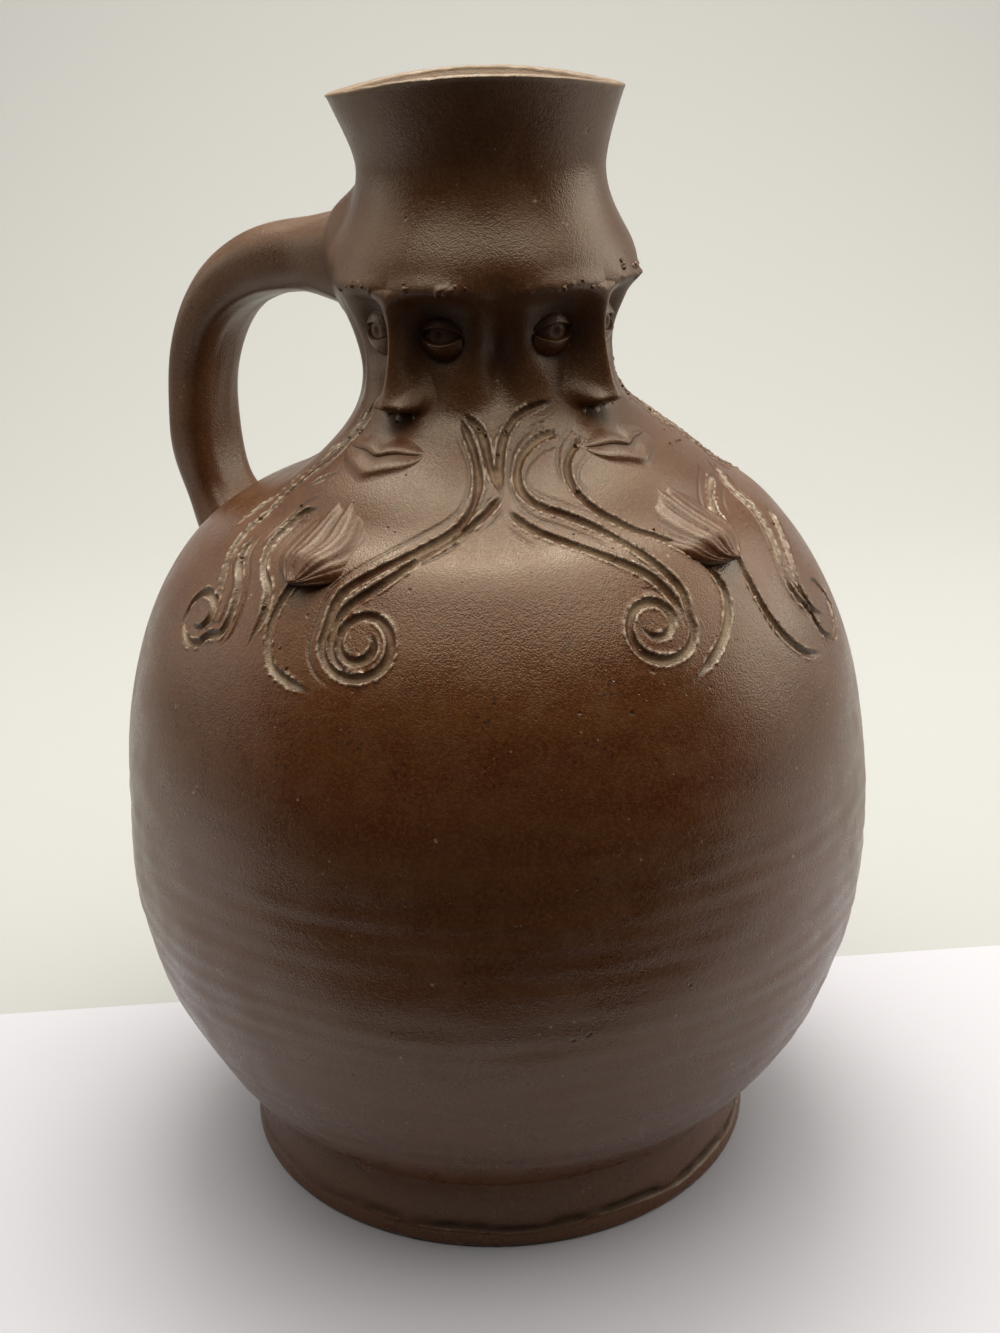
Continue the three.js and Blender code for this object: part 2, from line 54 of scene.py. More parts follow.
# Spreading foot ring
FOOT_RADIUS = 76
FOOT_WAIST = (74.0, 15.0)
FOOT_TOP_WIDTH = 2.2
FOOT_EDGE = 1.6
FOOT_LEDGE_HEIGHT = 5.2
FOOT_GROOVE = 1.15
FILLET = 0.7
FILLET_REACH = 3.4

# Thrown collar
NECK = (33.3, 229.0)
BROW_BULGE = (40.6, 257.5)
WAIST = (32.6, 281.0)
RIM = (38.2, 302.2)
RIM_THICKNESS = 3.6
RIM_BEVEL = 0.9
RIM_WAVE = 2.2
RIM_WAVE_AZIMUTH = -56.5
RIM_DIP = 1.6
RIM_DIP_AZIMUTH = -90
BORE_RADIUS = 28
BORE_BOTTOM = 228

# Clay built up round the front to carry the faces and their beards
BUILD_UP = 12
BUILD_UP_HEIGHT = 207
BUILD_UP_BELOW = 13
BUILD_UP_ABOVE = 14
BUILD_UP_HALF_ANGLE = 119
BUILD_UP_FADE = 26
LEAN = 1.6
LEAN_AZIMUTH = 33.5
LEAN_RETURN = 0.6

# Faces: five eyes wide, and three equal parts from hairline to brow, nose and chin
FACE_AZIMUTHS = {"left": -92, "middle": -10, "right": 72}
MIDDLE_FACE = FACE_AZIMUTHS["middle"]
FACE_RADIUS = 37.5
HAIRLINE = 282
CHIN = 196
EYE_WIDTH = 10.6
THIRD = (HAIRLINE - CHIN) / 3
BROW = HAIRLINE - THIRD
BROW_ARCH = 0.9
NOSE_BASE = BROW - THIRD
EYE = BROW - 0.36 * THIRD
MOUTH = NOSE_BASE - THIRD / 3
NOSE_PROJECTION = 11
EYEBALL_RADIUS = 6.2
EYEBALL_PROUD = 4
PUPIL_DEPTH = 0.55
EYE_OPENING = 3.8
LID_THICKNESS = 1.3
LID_WIDTH = 3.4
LID_HALF_LENGTH = 6.1
LIP_WIDTH = 20
UPPER_LIP = 3.4
LOWER_LIP = 4.6
TUFT_LENGTH = 31
TUFT_WIDTH = 27
TUFT_THICKNESS = 4.4
TUFT_LIFT = 9
TUFT_SLOPE = -42
PATCH_SINK = 2.2
UP_NAMES = {1: "upper", -1: "lower"}
SIDE_NAMES = {-1: "a", 1: "b"}

# Strap handle, along its centre line, and its clay smeared up on to the collar
HANDLE_TOP = (28.6, 256.0)
HANDLE_ROOT_RISE = 6
HANDLE_REACH = (104.0, 203.0)
HANDLE_LANDING = (82.0, 162.0)
HANDLE_WIDTH = 24
HANDLE_THICKNESS = 17
HANDLE_TOP_THICKNESS = 22.5
HANDLE_ROOT_SPREAD = 1.32
HANDLE_ROOT_LENGTH = 27
ROOT_FILLET = 2.8
ROOT_FILLET_WIDTH = 8
PULL_MARKS = 0.012
SMEAR = 4
SMEAR_AZIMUTH = -161
SMEAR_HEIGHT = 270

# Heights at which the skin passes from one piece to the next, and at which the finer mesh of the
# faces ends. Each piece runs on under its neighbour by an overlap, sinking by the tuck's depth.
SHOULDER_START = 157
LOCKS_START = 180
COLLAR_TOP = 236
FACES_TOP = 268
OVERLAP = 2
TUCK = 0.07

# Unevenness of the hand-thrown wall, and the rings that the fingers leave in it
UNEVEN = 0.16
DENT = 0.07
THROWING_RING = 0.1
RING_PITCH = 6.4

# Cut and burr of a beard stroke, the narrow strokes and fine hairs, and the radius of the shoulder
# where they lie
STROKE_HALF_WIDTH = 1.08
STROKE_DEPTH = 1.25
BURR_HEIGHT = 0.32
BURR_WIDTH = 0.31
BURR_GAP = 0.28
NARROW_HALF_WIDTH = 0.65
NARROW_DEPTH = 0.6
HAIR_HALF_WIDTH = 0.5
HAIR_DEPTH = 0.32
SHOULDER_RADIUS = 68

# Steps of the meshes, in mm along an outline or in columns round the jug, the radius of the ring
# that a fan closes on the axis, and the angle in degrees past which an edge stays sharp
BLUR_STEP = 0.25
STROKE_STEP = 0.6
HANDLE_STEP = 1.3
HANDLE_SIDES = 84
LINING_STEP = 5
BELLY_COLUMNS = 560
FAN_RADIUS = 0.4
SHARP_ANGLE = 72


def smooth(value, low, high):
    """Smoothstep: 0 below low, 1 above high and 3s^2 - 2s^3 between them."""
    share = np.clip((value - low) / (high - low), 0, 1)
    return share * share * (3 - 2 * share)


def hill(x, width, y, height):
    """Gaussian hill exp(-(x/width)^2 - (y/height)^2)."""
    return np.exp(-((x / width) ** 2) - (y / height) ** 2)


def bell(x, width, power=2):
    """Bell curve exp(-(x / width)^power)."""
    return np.exp(-((x / width) ** power))


def points_at(x, y, z):
    """Points from their coordinates, which may be whole grids, single rows or numbers."""
    return np.stack(np.broadcast_arrays(x, y, z), -1)


def wrapped(angle):
    """Angle in degrees brought between -180 and 180."""
    return (angle + 180) % 360 - 180


def ripple(points, wavelength, seed, waves=14):
    """Smooth random field of about unit size: a sum of sines along seeded directions."""
    draw = np.random.default_rng(seed)
    total = np.zeros(points.shape[:-1])
    for _ in range(waves):
        heading = draw.normal(size=3)
        heading *= 2 * np.pi / (wavelength * draw.uniform(0.6, 1.6) * np.linalg.norm(heading))
        total += np.sin(points @ heading + draw.uniform(0, 2 * np.pi))
    return total / math.sqrt(waves / 2)


def heading_of(angle):
    """Unit step of radius and height at an angle from outwards towards upwards."""
    return np.array([math.cos(math.radians(angle)), math.sin(math.radians(angle))])


def bend(start, end, start_angle, start_pull, end_angle, end_pull, steps=80):
    """Cubic curve from start to end that leaves and arrives at the given angles; each pull is a
    share of the chord: (1-t)^3 start + 3t(1-t)^2 first + 3t^2(1-t) second + t^3 end."""
    start, end = np.asarray(start, float), np.asarray(end, float)
    span = np.linalg.norm(end - start)
    first = start + heading_of(start_angle) * start_pull * span
    second = end - heading_of(end_angle) * end_pull * span
    t = np.linspace(0, 1, steps + 1)[:, None]
    rest = 1 - t
    return rest**3 * start + 3 * t * rest**2 * first + 3 * t**2 * rest * second + t**3 * end


def joined(*paths):
    """One line of points through several paths, without doubled points."""
    line = np.vstack([np.atleast_2d(path) for path in paths])
    kept = np.ones(len(line), bool)
    kept[1:] = np.linalg.norm(np.diff(line, axis=0), axis=1) > 1e-6
    return line[kept]


def evenly(line, step):
    """The line with points an even step apart along its length."""
    run = np.concatenate([[0], np.cumsum(np.linalg.norm(np.diff(line, axis=0), axis=1))])
    marks = np.linspace(0, run[-1], max(2, int(math.ceil(run[-1] / step)) + 1))
    return np.stack([np.interp(marks, run, line[:, k]) for k in range(line.shape[1])], 1)


def radius_at(line, height):
    """Radius of a rising outline at a height."""
    return np.interp(height, line[:, 1], line[:, 0])


def left_of(line):
    """Unit step to the left at each point of a line."""
    ahead = np.gradient(line, axis=0)
    ahead /= np.linalg.norm(ahead, axis=1, keepdims=True)
    return np.stack([-ahead[:, 1], ahead[:, 0]], 1)


def stretch(line, low, high, step):
    """The part of a rising outline between two heights, with points an even step apart."""
    ends = [[radius_at(line, z), z] for z in (low, high)]
    inner = line[(line[:, 1] > low + 1e-6) & (line[:, 1] < high - 1e-6)]
    return evenly(joined(ends[0], inner, ends[1]), step)


def rounded(line, height, reach):
    """The line with its corner at a height rounded off: near the corner each point moves to a
    Gaussian mean of the line about it, reach mm wide."""
    fine = evenly(line, BLUR_STEP)
    steps = np.arange(-int(10 * reach), int(10 * reach) + 1) * BLUR_STEP
    weights = bell(steps, reach)
    weights /= weights.sum()
    padded = np.pad(fine, ((len(steps) // 2,) * 2, (0, 0)), mode="edge")
    blurred = np.stack([np.convolve(padded[:, k], weights, mode="valid") for k in range(2)], 1)
    return fine + (blurred - fine) * bell(fine[:, 1:] - height, 1.5 * reach, 4)


ALONG = heading_of(SHOULDER_SLOPE)
INWARD = np.array([-ALONG[1], ALONG[0]])
SHOULDER_END = SHOULDER_SLOPE + 9
COLLAR_START = SHOULDER_SLOPE - 8
JOINT_INNER = np.array(JOINT) + INWARD * SHOULDER_WALL
HOLLOW_BELLY = (BELLY[0] - BELLY_WALL, BELLY[1])
OUTLINE = rounded(joined(
    bend((FOOT_RADIUS, FOOT_EDGE), FOOT_WAIST, 97, 0.4, 90, 0.3),
    bend(FOOT_WAIST, CREASE, 90, 0.3, 72, 0.3),
    bend(CREASE, BELLY, 39, 0.305, 90, 0.334),
    bend(BELLY, JOINT, 90, 0.351, SHOULDER_END, 0.358),
    bend(JOINT, NECK, COLLAR_START, 0.09, 90, 0.52),
    bend(NECK, BROW_BULGE, 90, 0.29, 90, 0.16),
    bend(BROW_BULGE, WAIST, 90, 0.23, 90, 0.44),
    bend(WAIST, RIM, 90, 0.22, 60, 0.1),
), JOINT[1], 4.2)
HOLLOW = joined(
    bend((FLOOR_RADIUS, FLOOR_THICKNESS), HOLLOW_BELLY, 36, 0.3, 90, 0.38),
    bend(HOLLOW_BELLY, JOINT_INNER, 90, 0.351, SHOULDER_END, 0.358),
    bend(JOINT_INNER, (BORE_RADIUS, BORE_BOTTOM), COLLAR_START, 0.2, 90, 0.45),
    (BORE_RADIUS, WAIST[1]),
    bend((BORE_RADIUS, WAIST[1]), (RIM[0] - RIM_THICKNESS, RIM[1]), 90, 0.4, 62, 0.35),
)


def across_face(azimuth, face):
    """Distance in mm round the collar from an azimuth such as a face's middle."""
    return np.radians(wrapped(azimuth - face)) * FACE_RADIUS


def azimuth_of(face, across):
    """Azimuth that lies a distance in mm round the collar from a face's middle."""
    return face + np.degrees(across / FACE_RADIUS)


def brow_line(side):
    """Height of a brow, arched over the eye; the side counts in eye widths."""
    return BROW + BROW_ARCH * (1 - 0.75 * (side - 1) ** 2)


def face_relief(across, height):
    """How far one face is pushed out or in: a sum of hills for brow, cheek, muzzle and jaw, less
    the sockets and temples. Sides count in eye widths and levels in thirds of the face."""
    side = np.abs(across) / EYE_WIDTH

    def level(feature):
        return (height - feature) / THIRD

    over_brow = level(brow_line(side))
    brow = 2.8 * hill(side - 0.9, 1.25, over_brow, 0.11)
    ledge = 1.5 * hill(side - 1, 0.8, over_brow + 0.11, 0.075)
    socket = 5 * hill(side - 1, 0.66, level(EYE), 0.24)
    cheek = 1.5 * hill(side - 1.5, 0.7, level(NOSE_BASE) - 0.17, 0.24)
    muzzle = 2 * hill(side, 1.1, level(MOUTH), 0.32)
    jaw = 1.2 * hill(side, 1.2, level(CHIN) - 0.38, 0.17)
    temple = 2 * hill(side - 2.5, 0.45, level(EYE) + 0.14, 0.45)
    return brow + cheek + muzzle + jaw - ledge - socket - temple


def build_up(azimuth, height):
    """Extra clay round the front: a Gaussian in height that fades out towards the handle."""
    turn = np.abs(wrapped(azimuth - MIDDLE_FACE))
    low, high = BUILD_UP_HALF_ANGLE - BUILD_UP_FADE, BUILD_UP_HALF_ANGLE + BUILD_UP_FADE
    reach = np.where(height < BUILD_UP_HEIGHT, BUILD_UP_BELOW, BUILD_UP_ABOVE)
    return (1 - smooth(turn, low, high)) * BUILD_UP * bell(height - BUILD_UP_HEIGHT, reach)


def handle_smear(azimuth, height):
    """Clay of the handle smeared up on to the collar: a hill leaning to one side of the root."""
    up = height - SMEAR_HEIGHT
    return SMEAR * hill(across_face(azimuth, SMEAR_AZIMUTH) + 0.35 * up, 6, up, 8)


def thrown(azimuth, height):
    """Unevenness and throwing rings of the wall, in mm inwards: a smooth random field, shallow
    dents on the lower belly, and two sines that climb as a wandering screw round it and come
    and go."""
    radius, turn = radius_at(OUTLINE, height), np.radians(azimuth)
    place = points_at(radius * np.sin(turn), -radius * np.cos(turn), height)
    uneven = UNEVEN * (2 - ripple(place, 46, 7)) * smooth(height, 1, 12)
    lower = smooth(height, 20, 44) * (1 - smooth(height, 112, 140))
    uneven = uneven + DENT * lower * (2 - ripple(place * np.array([0.8, 0.8, 1.5]), 17, 10))
    climb = 2 * np.pi * (height / RING_PITCH + azimuth / 360) + 1.1 * ripple(place, 110, 9)
    coming = np.clip(0.75 + 0.45 * ripple(place * np.array([0.35, 0.35, 1]), 34, 8), 0, 1.3)
    band = smooth(height, 24, 40) * (1 - smooth(height, 104, 150)) * coming
    return uneven + THROWING_RING * band * (1.5 - np.sin(climb) - 0.5 * np.sin(0.61 * climb + 1))


def relief(azimuth, height):
    """Everything modelled on the thrown form, in mm outwards."""
    faces = sum(face_relief(across_face(azimuth, face), height) for face in FACE_AZIMUTHS.values())
    faces = faces * smooth(height, JOINT[1], JOINT[1] + JOIN_FADE)
    fillet = FILLET * bell(height - CREASE[1], FILLET_REACH)
    added = build_up(azimuth, height) + handle_smear(azimuth, height) + fillet
    return added + faces - thrown(azimuth, height)


def skin_radius(azimuth, height):
    """Distance of the jug's skin from its axis."""
    return radius_at(OUTLINE, height) + relief(azimuth, height)


def leaned(x, y, height):
    """Points of the jug moved by the lean of its throwing, part of which the rim takes back."""
    back = LEAN_RETURN * smooth(height, WAIST[1], RIM[1])
    shift = LEAN * smooth(height, CREASE[1], 0.5 * BELLY[1]) * (1 - back)
    turn = math.radians(LEAN_AZIMUTH)
    return points_at(x + shift * math.sin(turn), y - shift * math.cos(turn), height)


def placed(azimuth, radius, height):
    """Points at an azimuth, radius and height on the jug: the rim rises and falls in two waves
    and dips to one side, and the throwing leans a little."""
    turn = np.radians(azimuth)
    wave = RIM_WAVE * np.cos(2 * np.radians(azimuth - RIM_WAVE_AZIMUTH))
    dip = RIM_DIP * (0.5 + 0.5 * np.cos(np.radians(azimuth - RIM_DIP_AZIMUTH)))
    lifted = height + smooth(height, WAIST[1], RIM[1]) * (wave - dip)
    return leaned(radius * np.sin(turn), -radius * np.cos(turn), lifted)


def grid_faces(grid, close_rows):
    """Points, quads and triangles over a grid of points whose columns run in a ring. Its rows
    close too, or the first and last are capped with a fan. Faces point outwards."""
    rows, columns = grid.shape[:2]
    points = grid.reshape(-1, 3)
    row = np.arange(rows if close_rows else rows - 1)[:, None] * columns
    below = (row + columns) % (rows * columns)
    here = np.arange(columns)
    ahead = (here + 1) % columns
    quads = np.stack([row + here, row + ahead, below + ahead, below + here], -1).reshape(-1, 4)
    fans = np.zeros((0, 3), int)
    if not close_rows:
        last = (rows - 1) * columns
        poles = np.repeat([[len(points)], [len(points) + 1]], columns, 1)
        points = np.vstack([points, grid[0].mean(0), grid[-1].mean(0)])
        fans = np.vstack([np.stack([poles[0], ahead, here], 1),
                          np.stack([poles[1], last + here, last + ahead], 1)])
    triangles = np.vstack([quads[:, [0, 1, 2]], quads[:, [0, 2, 3]], fans])
    a, b, c = (points[triangles[:, k]] for k in range(3))
    if np.einsum("ij,ij->i", a, np.cross(b, c)).sum() < 0:
        quads, fans = quads[:, ::-1], fans[:, ::-1]
    return points, quads, fans


def linked(name, data):
    """New object in the scene."""
    made = bpy.data.objects.new(name, data)
    bpy.context.scene.collection.objects.link(made)
    return made


def solid(name, grids, slot, stands_for=(), close_rows=False, masks=None):
    """Closed piece of one or more grids of points in mm, in the glaze of its slot, with masks
    kept on its vertices."""
    parts = [grid_faces(grid, close_rows) for grid in grids]
    starts = np.cumsum([0] + [len(points) for points, _, _ in parts[:-1]])
    points = np.vstack([points for points, _, _ in parts])
    quads = np.vstack([part[1] + start for part, start in zip(parts, starts)])
    fans = np.vstack([part[2] + start for part, start in zip(parts, starts)])
    loops = np.concatenate([quads.ravel(), fans.ravel()]).astype(np.int32)
    sizes = np.concatenate([np.full(len(quads), 4), np.full(len(fans), 3)]).astype(np.int32)
    mesh = bpy.data.meshes.new(name)
    mesh.vertices.add(len(points))
    mesh.vertices.foreach_set("co", (points * MM).astype(np.float32).ravel())
    mesh.loops.add(len(loops))
    mesh.loops.foreach_set("vertex_index", loops)
    mesh.polygons.add(len(sizes))
    mesh.polygons.foreach_set("loop_start", (np.cumsum(sizes) - sizes).astype(np.int32))
    mesh.polygons.foreach_set("use_smooth", np.ones(len(sizes), bool))
    mesh.update(calc_edges=True)
    for label, values in (masks or {}).items():
        whole = np.zeros(len(points), np.float32)
        whole[: values.size] = values.ravel()
        mesh.attributes.new(label, "FLOAT", "POINT").data.foreach_set("value", whole)
    mesh.set_sharp_from_angle(angle=math.radians(SHARP_ANGLE))
    mesh.materials.append(GLAZES[slot])
    piece = linked(name, mesh)
    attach(piece, "root")
    if stands_for:
        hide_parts(*stands_for)


def normals_of(grid):
    """Unit normals of a grid of points whose columns run in a ring, from central differences."""
    sideways = np.roll(grid, -1, 1) - np.roll(grid, 1, 1)
    upwards = np.gradient(grid, axis=0)
    normal = np.cross(sideways, upwards)
    return normal / np.linalg.norm(normal, axis=-1, keepdims=True)


def pushed(grid, push):
    """The grid moved along its normals by a push in mm for each point."""
    return grid + normals_of(grid) * push.reshape(*grid.shape[:2], 1)


def columns_round(count, back_share=0.42):
    """Azimuths all round, closer together round the front than behind: each step is inversely
    proportional to a density that falls to back_share towards the handle."""
    azimuth = np.linspace(-180, 180, 7201)
    behind = smooth(np.abs(wrapped(azimuth - MIDDLE_FACE)), 122, 150)
    density = 1 - (1 - back_share) * behind
    run = np.concatenate([[0], np.cumsum(0.5 * (density[1:] + density[:-1]))])
    marks = np.arange(count) / count * run[-1]
    return np.interp(marks, run, azimuth)


def spline(points, steps=10):
    """Smooth curve through the points: a uniform Catmull-Rom cubic between each two of them."""
    p = np.asarray(points, float)
    p = np.vstack([2 * p[0] - p[1], p, 2 * p[-1] - p[-2]])
    a, b, c, d = p[:-3], p[1:-2], p[2:-1], p[3:]
    t = np.arange(steps)[:, None, None] / steps
    curve = 0.5 * (2 * b + (c - a) * t + (2 * a - 5 * b + 4 * c - d) * t**2
                   + (3 * b - a - 3 * c + d) * t**3)
    return np.vstack([curve.transpose(1, 0, 2).reshape(-1, p.shape[1]), p[-2]])


def curl(centre, start_radius, end_radius, start_angle, turns):
    """Spiral on the shoulder about a centre of azimuth and height: its radius in mm runs evenly
    from start to end while its angle runs through the turns, against the clock if positive."""
    share = np.linspace(0, 1, int(abs(turns) * 12) + 2)
    angle = np.radians(start_angle + 360 * turns * share)
    radius = start_radius + (end_radius - start_radius) * share
    here = radius_at(OUTLINE, centre[1] + np.array([-1, 0, 1]))
    rise = 2 / math.hypot(2, here[2] - here[0])
    sideways = np.degrees(radius * np.cos(angle) / here[1])
    return np.stack([centre[0] + sideways, centre[1] + radius * np.sin(angle) * rise], 1)


def stroke(points, *ending):
    """A line through points of azimuth and height, and on through the curl that it ends in."""
    return spline(np.vstack([points, curl(*ending)]) if ending else points)


# Beard strokes as azimuths from the face's middle and heights
TURNED_LOCKS = [
    stroke([(25, 223), (30.5, 216.5), (32.4, 211), (31.2, 206), (28, 202), (21, 198), (14, 194),
            (8.6, 189)], (14.2, 180), 10.2, 2.6, 165, 1.75),
    stroke([(38.4, 208), (34, 204.5), (28.8, 201), (22, 197), (15.5, 191.5), (10.4, 186.5), (9, 181),
            (10.3, 176.5), (13.5, 173.6)]),
]
PARTING = stroke([(25.4, 224), (32.5, 220.5), (35.6, 214), (38.4, 208)])
SIDE_LOCKS = [
    stroke([(-18, 225), (-18, 218), (-19.5, 212.3), (-23, 207.6), (-25.2, 202.6), (-24.6, 197),
            (-22.8, 191.4), (-20.6, 186.4), (-18.6, 181), (-17.4, 174)]),
    stroke([(-19.8, 195.5), (-18.3, 191), (-15, 187), (-13.2, 181), (-13.6, 176)],
           (-21.6, 177.4), 8.6, 3.2, -25, -1.3),
]
NARROW_STROKES = [
    stroke([(-9.5, 210.4), (-14, 208.4), (-18.8, 205.4)]),
    stroke([(-21.8, 224), (-22.2, 217), (-24.8, 211), (-29, 206), (-31.4, 200), (-31.4, 193)]),
]
UNDER_CHIN = stroke([(4, 197), (-0.6, 192.5), (-3, 185.5), (-2.8, 179), (-0.6, 173), (3.4, 170.4),
                     (7.4, 169)])
BESIDE_CHIN = stroke([(-8, 203.2), (-12.3, 201.3), (-13.2, 196.5), (-10.6, 191), (-7, 187.5),
                      (-5.6, 182), (-6.4, 175)])
WIDE_LOCKS = [
    stroke([(-20, 226), (-28, 225), (-36, 222.5), (-41.3, 218.5), (-43.4, 213.5), (-43.4, 208.5)]),
    stroke([(-20, 219.5), (-30, 218), (-37, 214.5), (-38.9, 210), (-36, 206.3), (-29, 203.4),
            (-22, 199.6), (-16.4, 194), (-13, 187.5)], (-19.8, 180.8), 9.9, 5.4, 10, -1.05),
    stroke([(-42.6, 205.3), (-38, 201.8), (-31, 198.6), (-23.5, 195), (-17.6, 190.5), (-15, 185),
            (-14.8, 180)]),
    spline(curl((-20.2, 182), 5.6, 3.4, 110, -0.8)),
]
FALLING_LOCKS = [
    stroke([(25, 203), (16, 201), (9.6, 197.4), (5, 192), (3.2, 185), (3.2, 177), (5.4, 170),
            (9.4, 164.4), (14, 162)]),
    stroke([(35.5, 203), (28.2, 199.6), (21.4, 192.6), (16.2, 185), (13.9, 178)],
           (22.8, 170.2), 10.4, 6.4, 172, 0.78),
    stroke([(31, 193), (25.6, 188.6), (19.9, 182.6), (17.2, 176.6), (18.2, 171), (21.6, 167.6)]),
]
LONG_LOCK = stroke([(-12, 218), (-20.5, 215), (-24.7, 210.5), (-22.8, 205), (-16.5, 200), (-10, 196.3),
                    (-5.2, 191), (-3.9, 184.5), (-6.4, 178.3), (-11, 173), (-16.2, 168.6)])
MIRROR = np.array([-1, 1])
BEARDS = {
    "left": TURNED_LOCKS + [PARTING] + SIDE_LOCKS + [UNDER_CHIN, BESIDE_CHIN],
    "middle": WIDE_LOCKS + FALLING_LOCKS + [LONG_LOCK],
    "right": WIDE_LOCKS + TURNED_LOCKS + [LONG_LOCK, BESIDE_CHIN * MIRROR],
}


def beside(path, gap, share):
    """The first share of a stroke moved sideways by a gap in mm on the shoulder."""
    scale = np.array([math.radians(1) * SHOULDER_RADIUS, 1])
    line = path * scale
    moved = line + gap * left_of(line)
    return moved[: max(4, int(share * len(moved)))] / scale


def stroke_lines():
    """Every beard stroke as points in mm on the jug's skin, STROKE_STEP apart, with its half
    width and depth. The left face has some narrow strokes, and fine hairs run beside the first
    part of each broad one."""
    draw = np.random.default_rng(5)
    lines = []
    for name, face in FACE_AZIMUTHS.items():
        cuts = [(path, STROKE_HALF_WIDTH, STROKE_DEPTH) for path in BEARDS[name]]
        if name == "left":
            cuts += [(path, NARROW_HALF_WIDTH, NARROW_DEPTH) for path in NARROW_STROKES]
        for path in BEARDS[name]:
            for side in (-1, 1):
                hair = beside(path, side * draw.uniform(2.1, 3.0), draw.uniform(0.2, 0.42))
                cuts.append((hair, HAIR_HALF_WIDTH, HAIR_DEPTH))
        for path, half, depth in cuts:
            azimuth, height = path[:, 0] + face, path[:, 1]
            line = placed(azimuth, skin_radius(azimuth, height), height)
            lines.append((evenly(line, STROKE_STEP), half, depth))
    return lines


def off_line(points, line):
    """Distance from each point to a line of points, and how far along the line that is."""
    square = (points**2).sum(1)[:, None] + (line**2).sum(1)[None, :] - 2 * points @ line.T
    nearest = np.clip(square.argmin(1), 1, len(line) - 2)
    best = np.full(len(points), np.inf)
    run = np.zeros(len(points))
    for start in (nearest - 1, nearest):
        a, b = line[start], line[start + 1]
        step = b - a
        share = np.clip(((points - a) * step).sum(1) / (step**2).sum(1), 0, 1)
        gap = np.linalg.norm(points - a - share[:, None] * step, axis=1)
        closer = gap < best
        best = np.where(closer, gap, best)
        run = np.where(closer, start + share, run)
    return best, run


def carved(grid, lines):
    """The grid with the strokes cut into it along its normals. The cut is a U,
    1 - (distance / half width)^2.2, and a ragged burr stands along both of its edges. Also gives
    three masks: the cuts, their burrs and the fine hairs."""
    points = grid.reshape(-1, 3)
    push, cut, burr, hair = (np.zeros(len(points)) for _ in range(4))
    for index, (line, widest, depth) in enumerate(lines):
        reach = widest + 4 * BURR_WIDTH
        low, high = line.min(0) - reach, line.max(0) + reach
        near = np.flatnonzero(((points > low) & (points < high)).all(1))
        if not len(near):
            continue
        gap, run = off_line(points[near], line)
        close = gap < reach
        near, gap, run = near[close], gap[close], run[close] * STROKE_STEP
        length = STROKE_STEP * (len(line) - 1)
        fade = smooth(run, 0, 4) * (1 - smooth(run, length - 7, length - 0.5))
        ragged = ripple(points[near], 1.8, 40 + index)
        uneven = ripple(points[near], 13, 90 + index)
        half = widest * (0.35 + 0.65 * fade) * (1 + 0.06 * ragged + 0.1 * uneven)
        valley = (1 - np.clip(gap / half, 0, 1) ** 2.2) * (0.1 + 0.9 * fade)
        push[near] = np.minimum(push[near], -depth * valley)
        if widest == HAIR_HALF_WIDTH:
            hair[near] = np.maximum(hair[near], valley)
            continue
        ridge = bell(gap - half - BURR_GAP, BURR_WIDTH) * fade
        ridge *= np.clip(0.7 + 0.5 * ragged + 0.3 * uneven, 0.05, 1.8)
        cut[near] = np.maximum(cut[near], valley)
        burr[near] = np.maximum(burr[near], ridge)
    burr *= 1 - smooth(cut, 0, 0.25)
    push += BURR_HEIGHT * burr
    return pushed(grid, push), *(mask.reshape(grid.shape[:2]) for mask in (cut, burr, hair))


def skin_grid(azimuth, outline, low, high):
    """Grid of the jug's skin over the azimuths and an outline of radius and height. Beyond low
    and high it sinks under its neighbour, TUCK * (distance / OVERLAP)^2."""
    turn, height = np.meshgrid(azimuth, outline[:, 1])
    beyond = np.clip(low - height, 0, None) + np.clip(height - high, 0, None)
    radius = outline[:, 0][:, None] + relief(turn, height) - TUCK * (beyond / OVERLAP) ** 2
    return placed(turn, radius, height)


def lining(azimuth, outline):
    """Grid of a plain surface of revolution through an outline of radius and height."""
    return placed(*np.broadcast_arrays(azimuth[None, :], outline[:, :1], outline[:, 1:]))


def make_band(name, columns, low, high, step, slot, stands_for, lines):
    """Ring of wall between two heights, of columns round the jug and rows a step in mm apart, with
    the strokes cut into its skin."""
    azimuth = columns_round(columns)
    outline = stretch(OUTLINE, low - OVERLAP, high + OVERLAP, step)
    skin, cut, burr, hair = carved(filleted(skin_grid(azimuth, outline, low, high)), lines)
    inside = stretch(HOLLOW, low - OVERLAP - 4, high - 4, LINING_STEP)[::-1]
    bare = np.zeros((len(inside), columns))
    # Painted shade round the faces' sockets, under the brows and beside and under the noses
    masks = {"groove": cut, "burr": burr, "scratch": hair, "painted_shade": face_shade(azimuth, outline)}
    masks = {label: np.concatenate([values, bare]) for label, values in masks.items()}
    grid = np.concatenate([skin, lining(azimuth, inside)])
    solid(name, [grid], slot, stands_for, close_rows=True, masks=masks)


def make_belly():
    """Belly of revolution from the base over the crease to the shoulder, with its inside."""
    azimuth = columns_round(BELLY_COLUMNS, 1)
    start = CREASE[1] - OVERLAP
    base = np.array([(FAN_RADIUS, 0), (BASE_RADIUS, 0), (CREASE[0] - FOOT_TOP_WIDTH, start)])
    outside = stretch(OUTLINE, start, SHOULDER_START + OVERLAP, 1.5)
    inside = stretch(HOLLOW, FLOOR_THICKNESS, SHOULDER_START, LINING_STEP)[::-1]
    floor = np.array([(FLOOR_RADIUS, FLOOR_THICKNESS), (FAN_RADIUS, FLOOR_THICKNESS)])
    grid = np.concatenate([
        lining(azimuth, evenly(base, 8)),
        filleted(skin_grid(azimuth, outside, CREASE[1], SHOULDER_START)),
        lining(azimuth, joined(inside, evenly(floor, 8))),
    ])
    solid("belly", [grid], "salt_glaze_belly", ["body"])


